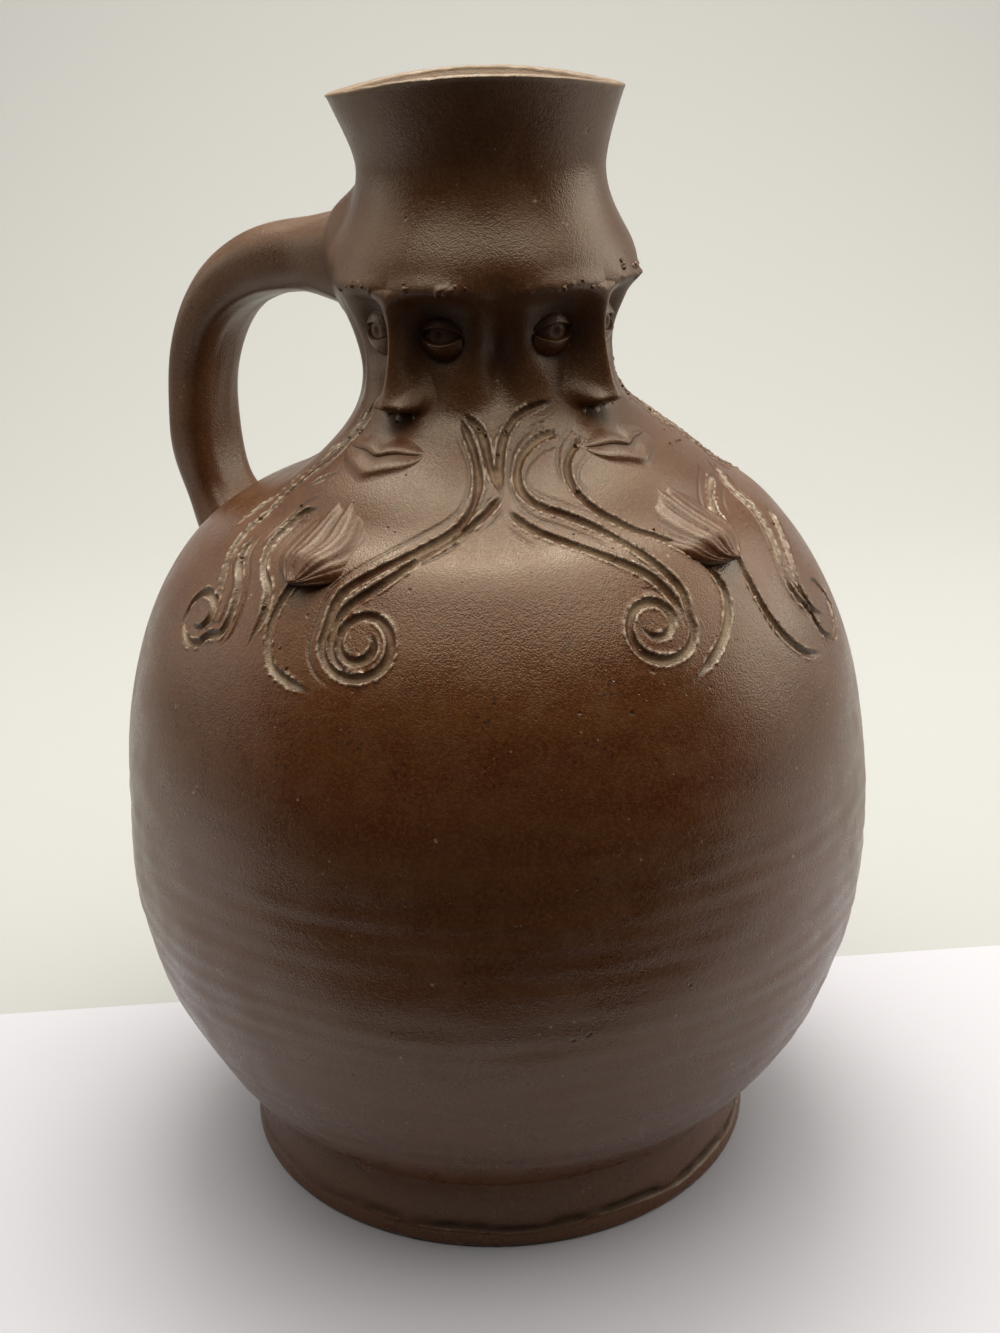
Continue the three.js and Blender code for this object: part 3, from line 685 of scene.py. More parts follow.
def face_shade(azimuth, outline):
    """Where shade is painted: 1 deep in a socket or under a brow, 0 on open skin."""
    turn, height = np.meshgrid(azimuth, outline[:, 1])
    mask = np.zeros(turn.shape)
    for face in FACE_AZIMUTHS.values():
        across = np.abs(across_face(turn, face))
        sockets = hill(across - EYE_WIDTH, 9, height - EYE - 3, 8)
        beside_nose = 0.7 * hill(across - 7.5, 3.2, height - NOSE_BASE - 3, 5)
        under_nose = 0.4 * hill(across, 6, height - NOSE_BASE + 2, 3)
        mask = np.maximum.reduce([mask, sockets, beside_nose, under_nose])
    return mask


def brow_rags(turn, height, points):
    """Torn clay along the brows, in mm outwards: the tops of two random fields, kept to a line
    a little over each brow."""
    line = np.zeros(turn.shape)
    for face in FACE_AZIMUTHS.values():
        side = np.abs(across_face(turn, face)) / EYE_WIDTH
        edge = bell(height - brow_line(side) - 0.6, 1.3)
        line = np.maximum(line, edge * smooth(side, 0.1, 0.45) * (1 - smooth(side, 1.6, 2.2)))
    torn = np.clip(ripple(points, 5.5, 31) - 0.2, 0, 1.4) * (0.7 + 0.4 * ripple(points, 1.9, 32))
    return 0.6 * line * torn


def make_head():
    """Collar above the beards: the faces' modelled band, the waist, the flared rim with its lip,
    paler with wear and a painted highlight, and the bore, with painted light at its top."""
    azimuth = columns_round(600, 0.8)
    faces = stretch(OUTLINE, COLLAR_TOP - OVERLAP, FACES_TOP, 0.45)
    outside = joined(faces, stretch(OUTLINE, FACES_TOP, RIM[1], 0.9))
    skin = filleted(skin_grid(azimuth, outside, COLLAR_TOP, RIM[1]))
    skin = pushed(skin, brow_rags(*np.meshgrid(azimuth, outside[:, 1]), skin))
    top = RIM[1] + RIM_BEVEL
    inner_edge = RIM[0] - RIM_THICKNESS
    lip = bend(RIM, (RIM[0] - 1.2, top), 80, 0.4, 180, 0.4, 5)[1:]
    bead = bend((inner_edge + 1.3, top), (inner_edge, RIM[1] - 0.4), 180, 0.5, 250, 0.3, 5)
    bore = stretch(HOLLOW, COLLAR_TOP - OVERLAP, RIM[1] - 0.8, 2.2)[::-1]
    mouth = joined(lip, bead, bore)
    inner = lining(azimuth, mouth)
    edge = bell(mouth[:, 1:] - top, 0.5)
    inner[..., 2] -= 0.07 * np.clip(ripple(inner, 5, 3) + 0.6, 0, None) * edge
    grid = np.concatenate([skin, inner])
    profile = np.concatenate([outside, mouth])
    ragged = 0.22 * ripple(grid, 6, 5)
    # The lip's top: wear and a painted highlight
    wear_and_highlight = smooth(profile[:, 1:] + ragged, RIM[1] - 0.8, RIM[1] - 0.2)
    inside = np.zeros(grid.shape[:2])
    inside[len(outside) + len(lip) + len(bead):] = 1
    # Painted shade round the faces' sockets, brows and noses; none in the bore
    painted_shade = np.concatenate([face_shade(azimuth, outside), np.zeros(inner.shape[:2])])
    # Painted light in the bore, paler near the rim and fading down into dark
    inside *= 0.4 * smooth(profile[:, 1:], NECK[1], RIM[1])
    masks = {"wear_and_highlight": np.maximum(wear_and_highlight, inside), "painted_shade": painted_shade}
    solid("head", [grid], "salt_glaze_collar", ["neck"], close_rows=True, masks=masks)


def make_foot():
    """Foot ring: a turned outline with a rounded bottom edge and a ragged groove above it that
    dies away towards the left."""
    azimuth = columns_round(BELLY_COLUMNS, 1)
    edge = bend((FOOT_RADIUS - FOOT_EDGE, 0), (FOOT_RADIUS, FOOT_EDGE), 0, 0.5, 90, 0.5, 6)
    outline = stretch(OUTLINE, FOOT_EDGE, CREASE[1] + OVERLAP, 0.4)
    side = skin_grid(azimuth, outline, 0, CREASE[1])
    turn, height = np.meshgrid(azimuth, outline[:, 1])
    level = FOOT_LEDGE_HEIGHT + 0.35 * ripple(side, 38, 11)
    ragged = np.clip(0.9 + 0.3 * ripple(side, 8, 12), 0.3, 1.25)
    ragged *= 0.2 + 0.8 * smooth(np.cos(np.radians(turn + 12)), -0.1, 0.7)
    groove = bell(height - level, np.where(height > level, 1.9, 0.5)) * ragged
    side[..., 0] -= FOOT_GROOVE * groove * np.sin(np.radians(turn))
    side[..., 1] += FOOT_GROOVE * groove * np.cos(np.radians(turn))
    under = lining(azimuth, joined((BASE_RADIUS + 0.3, 0), edge[:-1]))
    top = lining(azimuth, np.array([(CREASE[0] - FOOT_TOP_WIDTH, CREASE[1]), (BASE_RADIUS + 4, 8)]))
    grid = np.concatenate([under, side, top])
    mask = np.zeros(grid.shape[:2])
    # The foot's groove carries painted shade
    mask[len(under):len(under) + len(side)] = np.clip(FOOT_GROOVE * groove, 0, 1)
    solid("foot", [grid], "salt_glaze_belly", ["foot"], close_rows=True, masks={"painted_shade": mask})


def handle_path():
    """Centre line of the handle as radius and height, the outward side of each of its points,
    and the thickness and width of the strap there, which grow towards both roots."""
    line = joined(bend(HANDLE_TOP, HANDLE_REACH, HANDLE_ROOT_RISE, 0.572, -90, 0.475),
                  bend(HANDLE_REACH, HANDLE_LANDING, -90, 0.445, -130, 0.351))
    line = evenly(line, HANDLE_STEP)
    run = np.arange(len(line)) * HANDLE_STEP
    nearest = np.minimum(run, run[-1] - run)
    spread = 1 + (HANDLE_ROOT_SPREAD - 1) * (1 - smooth(nearest, 4, 4 + HANDLE_ROOT_LENGTH))
    thinner = (HANDLE_THICKNESS - HANDLE_TOP_THICKNESS) * smooth(run / run[-1], 0.05, 0.62)
    return line, left_of(line), (HANDLE_TOP_THICKNESS + thinner) * spread, HANDLE_WIDTH * spread


def filleted(grid):
    """The grid with clay pressed in round the handle's roots: it rises along its normals by
    ROOT_FILLET * (1 - distance / ROOT_FILLET_WIDTH)^2 towards the strap's surface."""
    line, outwards, thick, wide = handle_path()
    points = grid.reshape(-1, 3)
    near = np.flatnonzero((points[:, 1] > 20) & (np.abs(points[:, 0]) < 32) & (points[:, 2] > 135))
    if not len(near):
        return grid
    x, y, height = points[near].T
    side = np.stack([y, height], 1)
    nearest = ((side[:, None, :] - line[None]) ** 2).sum(2).argmin(1)
    out = ((side - line[nearest]) * outwards[nearest]).sum(1)
    half_wide, half_thick = 0.48 * wide[nearest], 0.48 * thick[nearest]
    section = ((np.abs(x) / half_wide) ** 3 + (np.abs(out) / half_thick) ** 3) ** (1 / 3)
    distance = np.clip((section - 1) * np.minimum(half_wide, half_thick), 0, ROOT_FILLET_WIDTH)
    push = np.zeros(len(points))
    push[near] = ROOT_FILLET * (1 - distance / ROOT_FILLET_WIDTH) ** 2
    return pushed(grid, push)


def make_handle():
    """Strap carried along its centre line: the section is an oblong with soft corners,
    |x|^3 + |y|^3 = 1, with a crown outwards, and it spreads where it runs into the neck and the
    shoulder."""
    line, outwards, thick, strap = handle_path()
    turn = 2 * np.pi * (np.arange(HANDLE_SIDES) + 0.5) / HANDLE_SIDES
    wide, deep = (np.sign(wave) * np.abs(wave) ** 0.66 for wave in (np.cos(turn), np.sin(turn)))
    crown = np.where(np.sin(turn) > 0, 1 - 0.18 * wide**2, 1)
    out = (0.5 * thick)[:, None] * (deep * crown)[None, :]
    x = (0.5 * strap)[:, None] * wide[None, :]
    grid = points_at(x, line[:, :1] + outwards[:, :1] * out, line[:, 1:] + outwards[:, 1:] * out)
    centre = points_at(0, line[:, :1], line[:, 1:])
    marks = ripple(grid * np.array([1, 0.16, 0.16]), 7, 21)
    pulled = PULL_MARKS * marks + PULL_MARKS * (ripple(grid, 26, 22) - 2)
    grid = centre + (grid - centre) * (1 + pulled - 0.03)[..., None]
    solid("handle", [leaned(*np.moveaxis(grid, -1, 0))], "salt_glaze_collar", ["handle"])


def patch(name, face, across, height, lift, masks=None):
    """Lump of clay modelled on the collar: a front grid lifted off the skin and a flat back sunk
    into the wall, closed round its edge. Where the lift is below 0 it runs under the skin."""
    azimuth = azimuth_of(face, across)
    skin = skin_radius(azimuth, height)
    front = placed(azimuth, skin + lift, height)
    back = placed(azimuth, skin - PATCH_SINK, height)
    grid = np.concatenate([front, back[:, ::-1]], axis=1)
    masks = {k: np.concatenate([v, v[:, ::-1]], axis=1) for k, v in (masks or {}).items()}
    solid(name, [grid], "salt_glaze_modelling", [name], masks=masks)


def make_nose(label, face):
    """Nose: a ridge that widens down to a rounded tip, two wings and two nostrils. The lift is
    ridge(height) * exp(-(x / width)^2.1) plus a hill for each wing, less one for each nostril."""
    across, height = np.meshgrid(np.linspace(-12, 12, 76), np.linspace(NOSE_BASE - 4, BROW + 3, 84))
    bottom, top = NOSE_BASE - 0.05 * THIRD, BROW - 0.02 * THIRD
    share = (height - bottom) / (top - bottom)
    ridge = smooth(share, -0.03, 0.17) * (1 - 0.72 * smooth(share, 0.15, 0.92))
    ridge = 1.2 + (NOSE_PROJECTION - 1.6) * ridge
    ridge *= smooth(share, -0.09, 0.09) * (1 - smooth(share, 0.86, 1.1))
    width = 0.46 * EYE_WIDTH * (1 - 0.42 * smooth(share, 0.1, 0.5) + 0.2 * smooth(share, 0.7, 1))
    side = np.abs(across)
    lift = ridge * bell(side, width, 2.1)
    lift += 3.1 * hill(side - 4.3, 2.0, height - NOSE_BASE - 2.2, 2.5)
    nostril = hill(side - 2.5, 1.15, height - NOSE_BASE + 0.4, 1.5)
    lift -= 1.7 * nostril
    lift = lift - 0.2 * (1 - smooth(lift, 0, 0.7))
    drooping = height - 0.13 * np.clip(lift, 0, None) * (1 - smooth(share, 0.3, 0.8))
    # The nostrils carry painted shade
    patch(f"{label}_nose", face, across, drooping, lift, {"painted_shade": np.clip(1.6 * nostril, 0, 1)})


def make_lip(label, face, up):
    """Lip from corner to corner: its lift is an arch across its height, and it dives under its
    fellow at the parting line, which dips in the middle."""
    share, level = np.meshgrid(np.linspace(-1.12, 1.12, 70), np.linspace(-0.3, 1.6, 34))
    inside = np.clip(1 - share**2, 0, 1)
    bow = 0.5 * bell(share, 0.2) - 0.25 * bell(np.abs(share) - 0.42, 0.22)
    parting = MOUTH + 0.5 * share**2 - bow
    tall = (UPPER_LIP if up > 0 else LOWER_LIP) * (0.1 + 0.9 * inside**0.7)
    if up > 0:
        tall = tall * (1 - 0.16 * bell(share, 0.14))
    height = parting + up * level * tall
    fullness = (1.9 if up > 0 else 2.5) * inside**0.75
    lift = fullness * bell(level - 0.42, 0.42) - 0.16
    lift -= 1.1 * (1 - smooth(level, -0.3, 0.1))
    # Painted shade along the parting, where the lips meet
    dark = (1 - smooth(level, -0.1, 0.22)) * inside
    patch(f"{label}_{UP_NAMES[up]}_lip", face, 0.5 * LIP_WIDTH * share, height, lift, {"painted_shade": dark})


def eye_depth(face, side):
    """Distance of an eyeball's middle from the jug's axis."""
    azimuth = azimuth_of(face, side * EYE_WIDTH)
    return float(skin_radius(np.array(azimuth), np.array(EYE))) + EYEBALL_PROUD - EYEBALL_RADIUS


def shell_radius(face, side, across, height, ball):
    """Distance from the jug's axis to a ball round an eyeball's middle, seen from the axis:
    d cos a + sqrt(ball^2 - up^2 - d^2 sin^2 a), and far inside where the line misses it."""
    depth = eye_depth(face, side)
    turn = (across - side * EYE_WIDTH) / FACE_RADIUS
    under = ball**2 - (height - EYE) ** 2 - (depth * np.sin(turn)) ** 2
    return depth * np.cos(turn) + np.where(under > 0, np.sqrt(np.clip(under, 0, None)), -9)


def make_lid(label, face, side, up):
    """Eyelid: it starts under its rounded edge on the eyeball, follows a ball a little larger
    than the eyeball, and runs out into the skin of the socket."""
    sweep, level = np.meshgrid(np.linspace(-1, 1, 46), np.linspace(-0.14, 2.0, 40))
    across = side * EYE_WIDTH + LID_HALF_LENGTH * sweep
    open_by = 0.15 + 0.5 * EYE_OPENING * np.cos(0.48 * np.pi * sweep) ** 0.8
    wide = LID_WIDTH * (0.45 + 0.55 * np.cos(0.5 * np.pi * sweep))
    height = EYE + up * (open_by + np.clip(level, 0, None) * wide)
    ball = EYEBALL_RADIUS + LID_THICKNESS * (smooth(level, -0.14, 0.12) * 1.2 - 0.2)
    skin = skin_radius(azimuth_of(face, across), height)
    shell = shell_radius(face, side, across, height, ball) - skin
    blend = np.clip(0.5 + 0.5 * (shell + 0.25) / 0.9, 0, 1)
    lift = blend * shell - 0.25 * (1 - blend) + 0.9 * 0.5 * blend * (1 - blend)
    lift = np.where(level > 1.7, np.minimum(lift, -0.15), lift)
    patch(f"{label}_{UP_NAMES[up]}_lid_{SIDE_NAMES[side]}", face, across, height, lift)


def make_eyeball(label, face, side):
    """Eyeball: a sphere with a shallow round dent for its pupil, flat behind where it would
    come through the wall."""
    tilt = np.linspace(0.02, math.pi - 0.02, 40)[:, None]
    turn = np.linspace(0, 2 * np.pi, 56, False)[None, :]
    radius = EYEBALL_RADIUS - PUPIL_DEPTH * bell(tilt, 0.2, 4)
    sideways, up = radius * np.sin(tilt) * np.cos(turn), radius * np.sin(tilt) * np.sin(turn)
    depth = eye_depth(face, side) + radius * np.cos(tilt)
    azimuth = azimuth_of(face, side * EYE_WIDTH) + np.degrees(np.arctan2(sideways, depth))
    distance = np.maximum(np.hypot(depth, sideways), radius_at(HOLLOW, EYE + up) + 1)
    name = f"{label}_eyeball_{SIDE_NAMES[side]}"
    # The pupil's dent carries painted shade
    solid(name, [placed(azimuth, distance, EYE + up)], "salt_glaze_modelling", [name],
          masks={"painted_shade": np.broadcast_to(bell(tilt, 0.24, 4), up.shape)})


def make_tuft(label, face, seed):
    """Chin tuft: a leaf of clay that leaves the skin under the lower lip and curls off the
    shoulder. Its section is a bow, thick in the middle, with rounded edges turned down, and
    strands of hair run along it."""
    share = np.sin(0.5 * np.pi * np.linspace(0.0, 1, 90))[:, None] ** 0.9
    turn = (2 * np.pi * np.arange(150) / 150)[None, :]
    start_height = BUILD_UP_HEIGHT + 1
    start_radius = float(skin_radius(np.array(float(face)), np.array(start_height))) - 1
    slope = heading_of(TUFT_SLOPE)
    upward = np.array([-slope[1], slope[0]])
    lift = TUFT_LIFT * share**1.6 - 3.5 * smooth(share, 0.72, 1) + 0.7
    half = 0.5 * TUFT_WIDTH * (0.16 + 0.84 * np.sin(np.pi * (0.07 + 0.76 * share)) ** 0.85)
    tip = np.sqrt(np.clip(1 - (np.clip(share - 0.8, 0, None) / 0.2) ** 2, 0.0004, 1))
    half = half * (1 - 0.4 * share**5) * tip * 0.98
    across = np.cos(turn)
    round_edge = np.sqrt(np.clip(1 - across**2, 0, 1)) ** (1.3 - 0.6 * smooth(share, 0.15, 0.7))
    thick = TUFT_THICKNESS * (1 - 0.3 * share) * (0.45 + 0.55 * tip)
    upper = np.sin(turn) >= 0
    offset = -0.5 * thick + np.where(upper, 0.5, -0.5) * thick * round_edge
    flow = points_at(half * across, TUFT_LENGTH * share, seed)
    wavy = 0.45 * ripple(flow, 13, seed) * smooth(share, 0.15, 0.6)
    combed = across + 0.26 * share * np.sin(3.4 * share + seed) + 0.05 * wavy
    valley = 1 - np.abs(np.sin(1.9 * np.pi * combed + seed)) ** 0.6
    minor = 1 - np.abs(np.sin(4.7 * np.pi * combed + 2 * seed + 1.5 * share)) ** 0.7
    later = (1.1 + 0.9 * np.sin(4.1 * np.pi * combed + seed)) * (1 - smooth(share, 0, 0.34))
    strand = (0.8 * valley + 0.4 * minor) * smooth(share, 0.08, 0.4) * round_edge * upper
    offset = offset + lift - 0.36 * half * np.abs(across) ** 2.3 + wavy * across**2 - strand - later
    radius = start_radius + slope[0] * TUFT_LENGTH * share + upward[0] * offset
    height = start_height + slope[1] * TUFT_LENGTH * share + upward[1] * offset
    sideways = half * across + 0.7 * wavy * np.abs(across)
    distance = np.hypot(radius, sideways)
    azimuth = face + np.degrees(np.arctan2(sideways, radius))
    # Painted shade on the tuft's underside and in the valleys of its strands
    below = np.where(upper, np.clip(0.5 * strand, 0, 1), 0.8)
    solid(f"{label}_chin_tuft", [placed(azimuth, distance, height)], "salt_glaze_modelling",
          [f"{label}_chin_tuft"], masks={"painted_shade": below})


def make_crumbs(name, places, seed):
    """Crumbs of clay stuck to the skin: lumpy balls, each a sphere scaled by its own three
    factors and roughened by a random field."""
    draw = np.random.default_rng(seed)
    tilt = np.linspace(0.05, math.pi - 0.05, 9)[:, None]
    turn = (2 * np.pi * np.arange(13) / 13)[None, :]
    ball = points_at(np.sin(tilt) * np.cos(turn), np.sin(tilt) * np.sin(turn), np.cos(tilt))
    lumps = []
    for index, (azimuth, height, size) in enumerate(places):
        rough = 1 + 0.24 * ripple(ball, 1.4, seed + index)
        lump = ball * size * draw.uniform(0.75, 1.5, 3) * rough[..., None]
        depth = skin_radius(np.array(azimuth), np.array(height)) - 0.2 * size
        lumps.append(placed(azimuth, depth, height) + lump)
    solid(name, lumps, "salt_glaze_modelling")


def feed(socket, value):
    """Links a socket to another, or sets its value; a colour gets an alpha of 1."""
    if isinstance(value, bpy.types.NodeSocket):
        socket.id_data.links.new(value, socket)
    else:
        socket.default_value = (*value, 1) if socket.type == "RGBA" else value


def node(kind, inputs, **settings):
    """Outputs of a new node with its settings and inputs, made where its fed sockets are."""
    tree = next(value.id_data for value in inputs.values() if isinstance(value, bpy.types.NodeSocket))
    made = tree.nodes.new(kind)
    for name, value in settings.items():
        setattr(made, name, value)
    for key, value in inputs.items():
        feed(made.inputs[key], value)
    return made.outputs


def maths(operation, *values):
    """Math node with the given operation and inputs."""
    return node("ShaderNodeMath", dict(enumerate(values)), operation=operation)[0]


def mixed(share, first, second):
    """Colour between two colours."""
    return node("ShaderNodeMix", {0: share, 6: first, 7: second}, data_type="RGBA")[2]


def noise(vector, scale, detail=4.0, roughness=0.55):
    """Noise value between 0 and 1."""
    inputs = {"Vector": vector, "Scale": scale, "Detail": detail, "Roughness": roughness}
    return node("ShaderNodeTexNoise", inputs)["Fac"]


def cells(vector, scale):
    """Distance from each point to the nearest of many scattered points."""
    return node("ShaderNodeTexVoronoi", {"Vector": vector, "Scale": scale})["Distance"]


def ramp(value, low, high):
    """Value taken from low..high to 0..1 and kept there."""
    inputs = dict(enumerate((value, low, high, 0.0, 1.0)))
    return node("ShaderNodeMapRange", inputs, interpolation_type="SMOOTHSTEP")[0]


def group(name, outputs, **numbers):
    """New node group from a vector and numbers to the outputs: the group, what it is given and
    what it gives."""
    tree = bpy.data.node_groups.new(name, "ShaderNodeTree")
    tree.interface.new_socket("Vector", in_out="INPUT", socket_type="NodeSocketVector")
    for label, value in numbers.items():
        socket = tree.interface.new_socket(label, in_out="INPUT", socket_type="NodeSocketFloat")
        socket.default_value = value
    for label in outputs:
        tree.interface.new_socket(label, in_out="OUTPUT", socket_type="NodeSocketFloat")
    return tree, tree.nodes.new("NodeGroupInput").outputs, tree.nodes.new("NodeGroupOutput").inputs


def mottle_group():
    """Clouds of paler and redder clay, a fine grain, and level streaks left by the wheel."""
    tree, given, result = group("glaze_mottle", ("Cloud", "Patch", "Grain", "Streak"))
    vector = given[0]
    flat = node("ShaderNodeVectorMath", {0: vector, 1: (1, 1, 9)}, operation="MULTIPLY")[0]
    feed(result[0], ramp(noise(vector, 14.0, 3.0), 0.35, 0.68))
    feed(result[1], ramp(noise(vector, 95.0, 5.0, 0.62), 0.36, 0.7))
    feed(result[2], noise(vector, 1100.0, 3.0, 0.6))
    feed(result[3], ramp(noise(flat, 13.0, 4.0), 0.35, 0.7))
    return tree


def speck_group():
    """Dark iron specks: small scattered cells, thinned out by a broad noise."""
    tree, given, result = group("iron_specks", ("Mask",), Scale=300.0, Size=0.2)
    vector, scale, size = given[:3]
    spread = noise(vector, maths("MULTIPLY", scale, 0.23), 2.0)
    reach = maths("ADD", maths("MULTIPLY", size, ramp(spread, 0.48, 0.72)), 0.001)
    feed(result[0], maths("SUBTRACT", 1.0, ramp(cells(vector, scale), 0.0, reach)))
    return tree


def peel_group():
    """Height of a salt glaze's orange peel: rounded cells over a fine and a broad noise."""
    tree, given, result = group("orange_peel", ("Height",), Scale=700.0)
    vector, scale = given[:2]
    dimple = ramp(cells(vector, scale), 0.1, 0.75)
    broad = noise(vector, maths("MULTIPLY", scale, 0.45), 3.0)
    fine = noise(vector, maths("MULTIPLY", scale, 2.2), 2.0)
    coarse = maths("ADD", maths("MULTIPLY", dimple, 0.5), broad)
    feed(result[0], maths("ADD", coarse, maths("MULTIPLY", fine, 0.35)))
    return tree


def pit_group():
    """Pin holes: sparse small cells, as a mask that is 1 in the hole."""
    tree, given, result = group("pin_holes", ("Mask",), Scale=150.0)
    vector, scale = given[:2]
    spread = ramp(noise(vector, maths("MULTIPLY", scale, 0.3), 2.0), 0.46, 0.64)
    reach = maths("ADD", maths("MULTIPLY", spread, 0.13), 0.001)
    feed(result[0], maths("SUBTRACT", 1.0, ramp(cells(vector, scale), 0.0, reach)))
    return tree


# Colours of the clay on the belly and on the collar, colours shared by the glazes, the heights in
# metres between which the clay gets greyer, and the glaze's gloss and orange peel
CLAY = (0.067, 0.015, 0.002), (0.064, 0.0178, 0.0036)
PALE_CLAY = (0.142, 0.059, 0.016), (0.136, 0.063, 0.021)
RED_CLAY = (0.058, 0.013, 0.002), (0.06, 0.017, 0.0035)
DARK_IRON = (0.012, 0.007, 0.005)
SHEEN = (1, 0.89, 0.74)
PALE_FLECK = (0.36, 0.27, 0.19)
# Painted shade, for hollows, cuts and fine hairs
SHADE_COLOUR = (0.016, 0.007, 0.004)
DEPOSIT = (0.25, 0.17, 0.1)
# Painted highlight for the burrs
BURR_HIGHLIGHT = (0.36, 0.27, 0.2)
# Wear and painted highlight on the lip, and painted light in the top of the bore
WEAR_HIGHLIGHT_COLOUR = (0.155, 0.105, 0.067)
GREYER_CLAY = (0.18, 0.23)
GLAZE_IOR = 1.62
BUMP_STRENGTH = 0.55
BUMP_DISTANCE = 0.00013
SHARED = {"mottle": mottle_group(), "specks": speck_group(), "peel": peel_group(), "pits": pit_group()}


def shared(name, vector, **values):
    """A shared group placed in a material with its own values."""
    return node("ShaderNodeGroup", {"Vector": vector, **values}, node_tree=SHARED[name])


def attribute(tree, name):
    """A mask kept on the piece's own vertices."""
    made = tree.nodes.new("ShaderNodeAttribute")
    made.attribute_name = name
    return made.outputs["Fac"]


def stoneware(name, roughness):
    """Satin salt glaze: mottled brown clay, a little greyer over the collar, with iron specks
    and pin holes. It has painted shade in cuts and hollows, a paler deposit on the cuts' slopes,
    painted highlights on burrs, wear and a painted highlight on the lip, and painted light at the
    top of the bore, over an orange-peel bump."""
    material = bpy.data.materials.new(name)
    material.use_nodes = True
    tree = material.node_tree
    coordinates = tree.nodes.new("ShaderNodeTexCoord").outputs["Object"]
    groove, burr, hair, painted_shade, wear_and_highlight = (
        attribute(tree, label) for label in ("groove", "burr", "scratch", "painted_shade", "wear_and_highlight")
    )
    mottle = shared("mottle", coordinates)
    upper = ramp(node("ShaderNodeSeparateXYZ", {0: coordinates})["Z"], *GREYER_CLAY)
    colour, pale, red = (mixed(upper, *pair) for pair in (CLAY, PALE_CLAY, RED_CLAY))
    specks = shared("specks", coordinates, Scale=640.0, Size=0.5)["Mask"]
    flecks = shared("specks", coordinates, Scale=330.0, Size=0.24)["Mask"]
    deposit = ramp(noise(coordinates, 90.0, 4.0), 0.36, 0.62)
    slope = maths("MULTIPLY", ramp(groove, 0.02, 0.3), deposit)
    edge = maths("SUBTRACT", ramp(groove, 0.0, 0.12), ramp(groove, 0.3, 0.6))
    wear_highlight_tone = mixed(ramp(noise(coordinates, 210.0, 4.0), 0.3, 0.8), WEAR_HIGHLIGHT_COLOUR, pale)
    fine_pits = shared("pits", coordinates, Scale=340.0)["Mask"]
    pits = maths("MAXIMUM", shared("pits", coordinates)["Mask"], fine_pits)
    # Layers over the clay: where each lies, how strong it is there, and its colour
    for mask, share, tint in (
        (mottle["Cloud"], 0.6, red),
        (mottle["Patch"], 0.17, pale),
        (mottle["Streak"], 0.2, pale),
        (ramp(mottle["Grain"], 0.42, 0.66), 0.42, pale),
        (specks, 0.85, DARK_IRON),
        (flecks, 0.7, PALE_FLECK),
        # Painted shade in sockets, under brows, in nostrils, pupils, lip partings, the foot's groove,
        # under tufts
        (painted_shade, 0.72, SHADE_COLOUR),
        (slope, 0.68, DEPOSIT),
        # Painted shade on the walls of the cuts
        (edge, 0.6, SHADE_COLOUR),
        # Painted shade in the fine hair cuts
        (hair, 0.45, SHADE_COLOUR),
        # Painted highlight along the burrs
        (ramp(burr, 0.2, 1.0), 0.7, BURR_HIGHLIGHT),
        # Wear and painted highlight on the lip, and painted light in the top of the bore
        (wear_and_highlight, 1.0, wear_highlight_tone),
        (pits, 0.9, DARK_IRON),
    ):
        colour = mixed(maths("MULTIPLY", mask, share), colour, tint)
    for mask, share in ((mottle["Patch"], 0.11), (groove, 0.25), (painted_shade, 0.5), (wear_and_highlight, 0.12)):
        roughness = maths("MULTIPLY_ADD", mask, share, roughness)
    skin = shared("peel", coordinates, Scale=1900.0)["Height"]
    skin = maths("MULTIPLY_ADD", pits, -2.6, skin)
    skin = maths("MULTIPLY_ADD", maths("MULTIPLY", groove, mottle["Grain"]), 3.0, skin)
    bump = {"Strength": BUMP_STRENGTH, "Distance": BUMP_DISTANCE, "Height": skin}
    shader = tree.nodes["Principled BSDF"].inputs
    for label, value in (("IOR", GLAZE_IOR), ("Specular Tint", SHEEN), ("Base Color", colour),
                         ("Roughness", roughness), ("Normal", node("ShaderNodeBump", bump)["Normal"])):
        feed(shader[label], value)
    return material


GLAZES = {
    "salt_glaze_belly": stoneware("belly_glaze", 0.26),
    "salt_glaze_collar": stoneware("collar_glaze", 0.31),
    "salt_glaze_modelling": stoneware("modelling_glaze", 0.34),
}


def plain(name, colour, roughness):
    """Plain matt material for the stage."""
    material = bpy.data.materials.new(name)
    material.use_nodes = True
    shader = material.node_tree.nodes["Principled BSDF"].inputs
    feed(shader["Base Color"], colour)
    feed(shader["Roughness"], roughness)
    return material


def sheet(name, points, material):
    """Open sheet over a grid of points in metres, turned to face the camera's side."""
    mesh = bpy.data.meshes.new(name)
    rows, columns = points.shape[:2]
    here = (np.arange(rows - 1)[:, None] * columns + np.arange(columns - 1)[None, :]).ravel()
    quads = np.stack([here, here + 1, here + columns + 1, here + columns], 1)
    mesh.from_pydata(points.reshape(-1, 3).tolist(), [], quads.tolist())
    mesh.transform(Matrix.Rotation(math.radians(CAMERA_AZIMUTH), 4, "Z"))
    mesh.shade_smooth()
    mesh.materials.append(material)
    piece = linked(name, mesh)


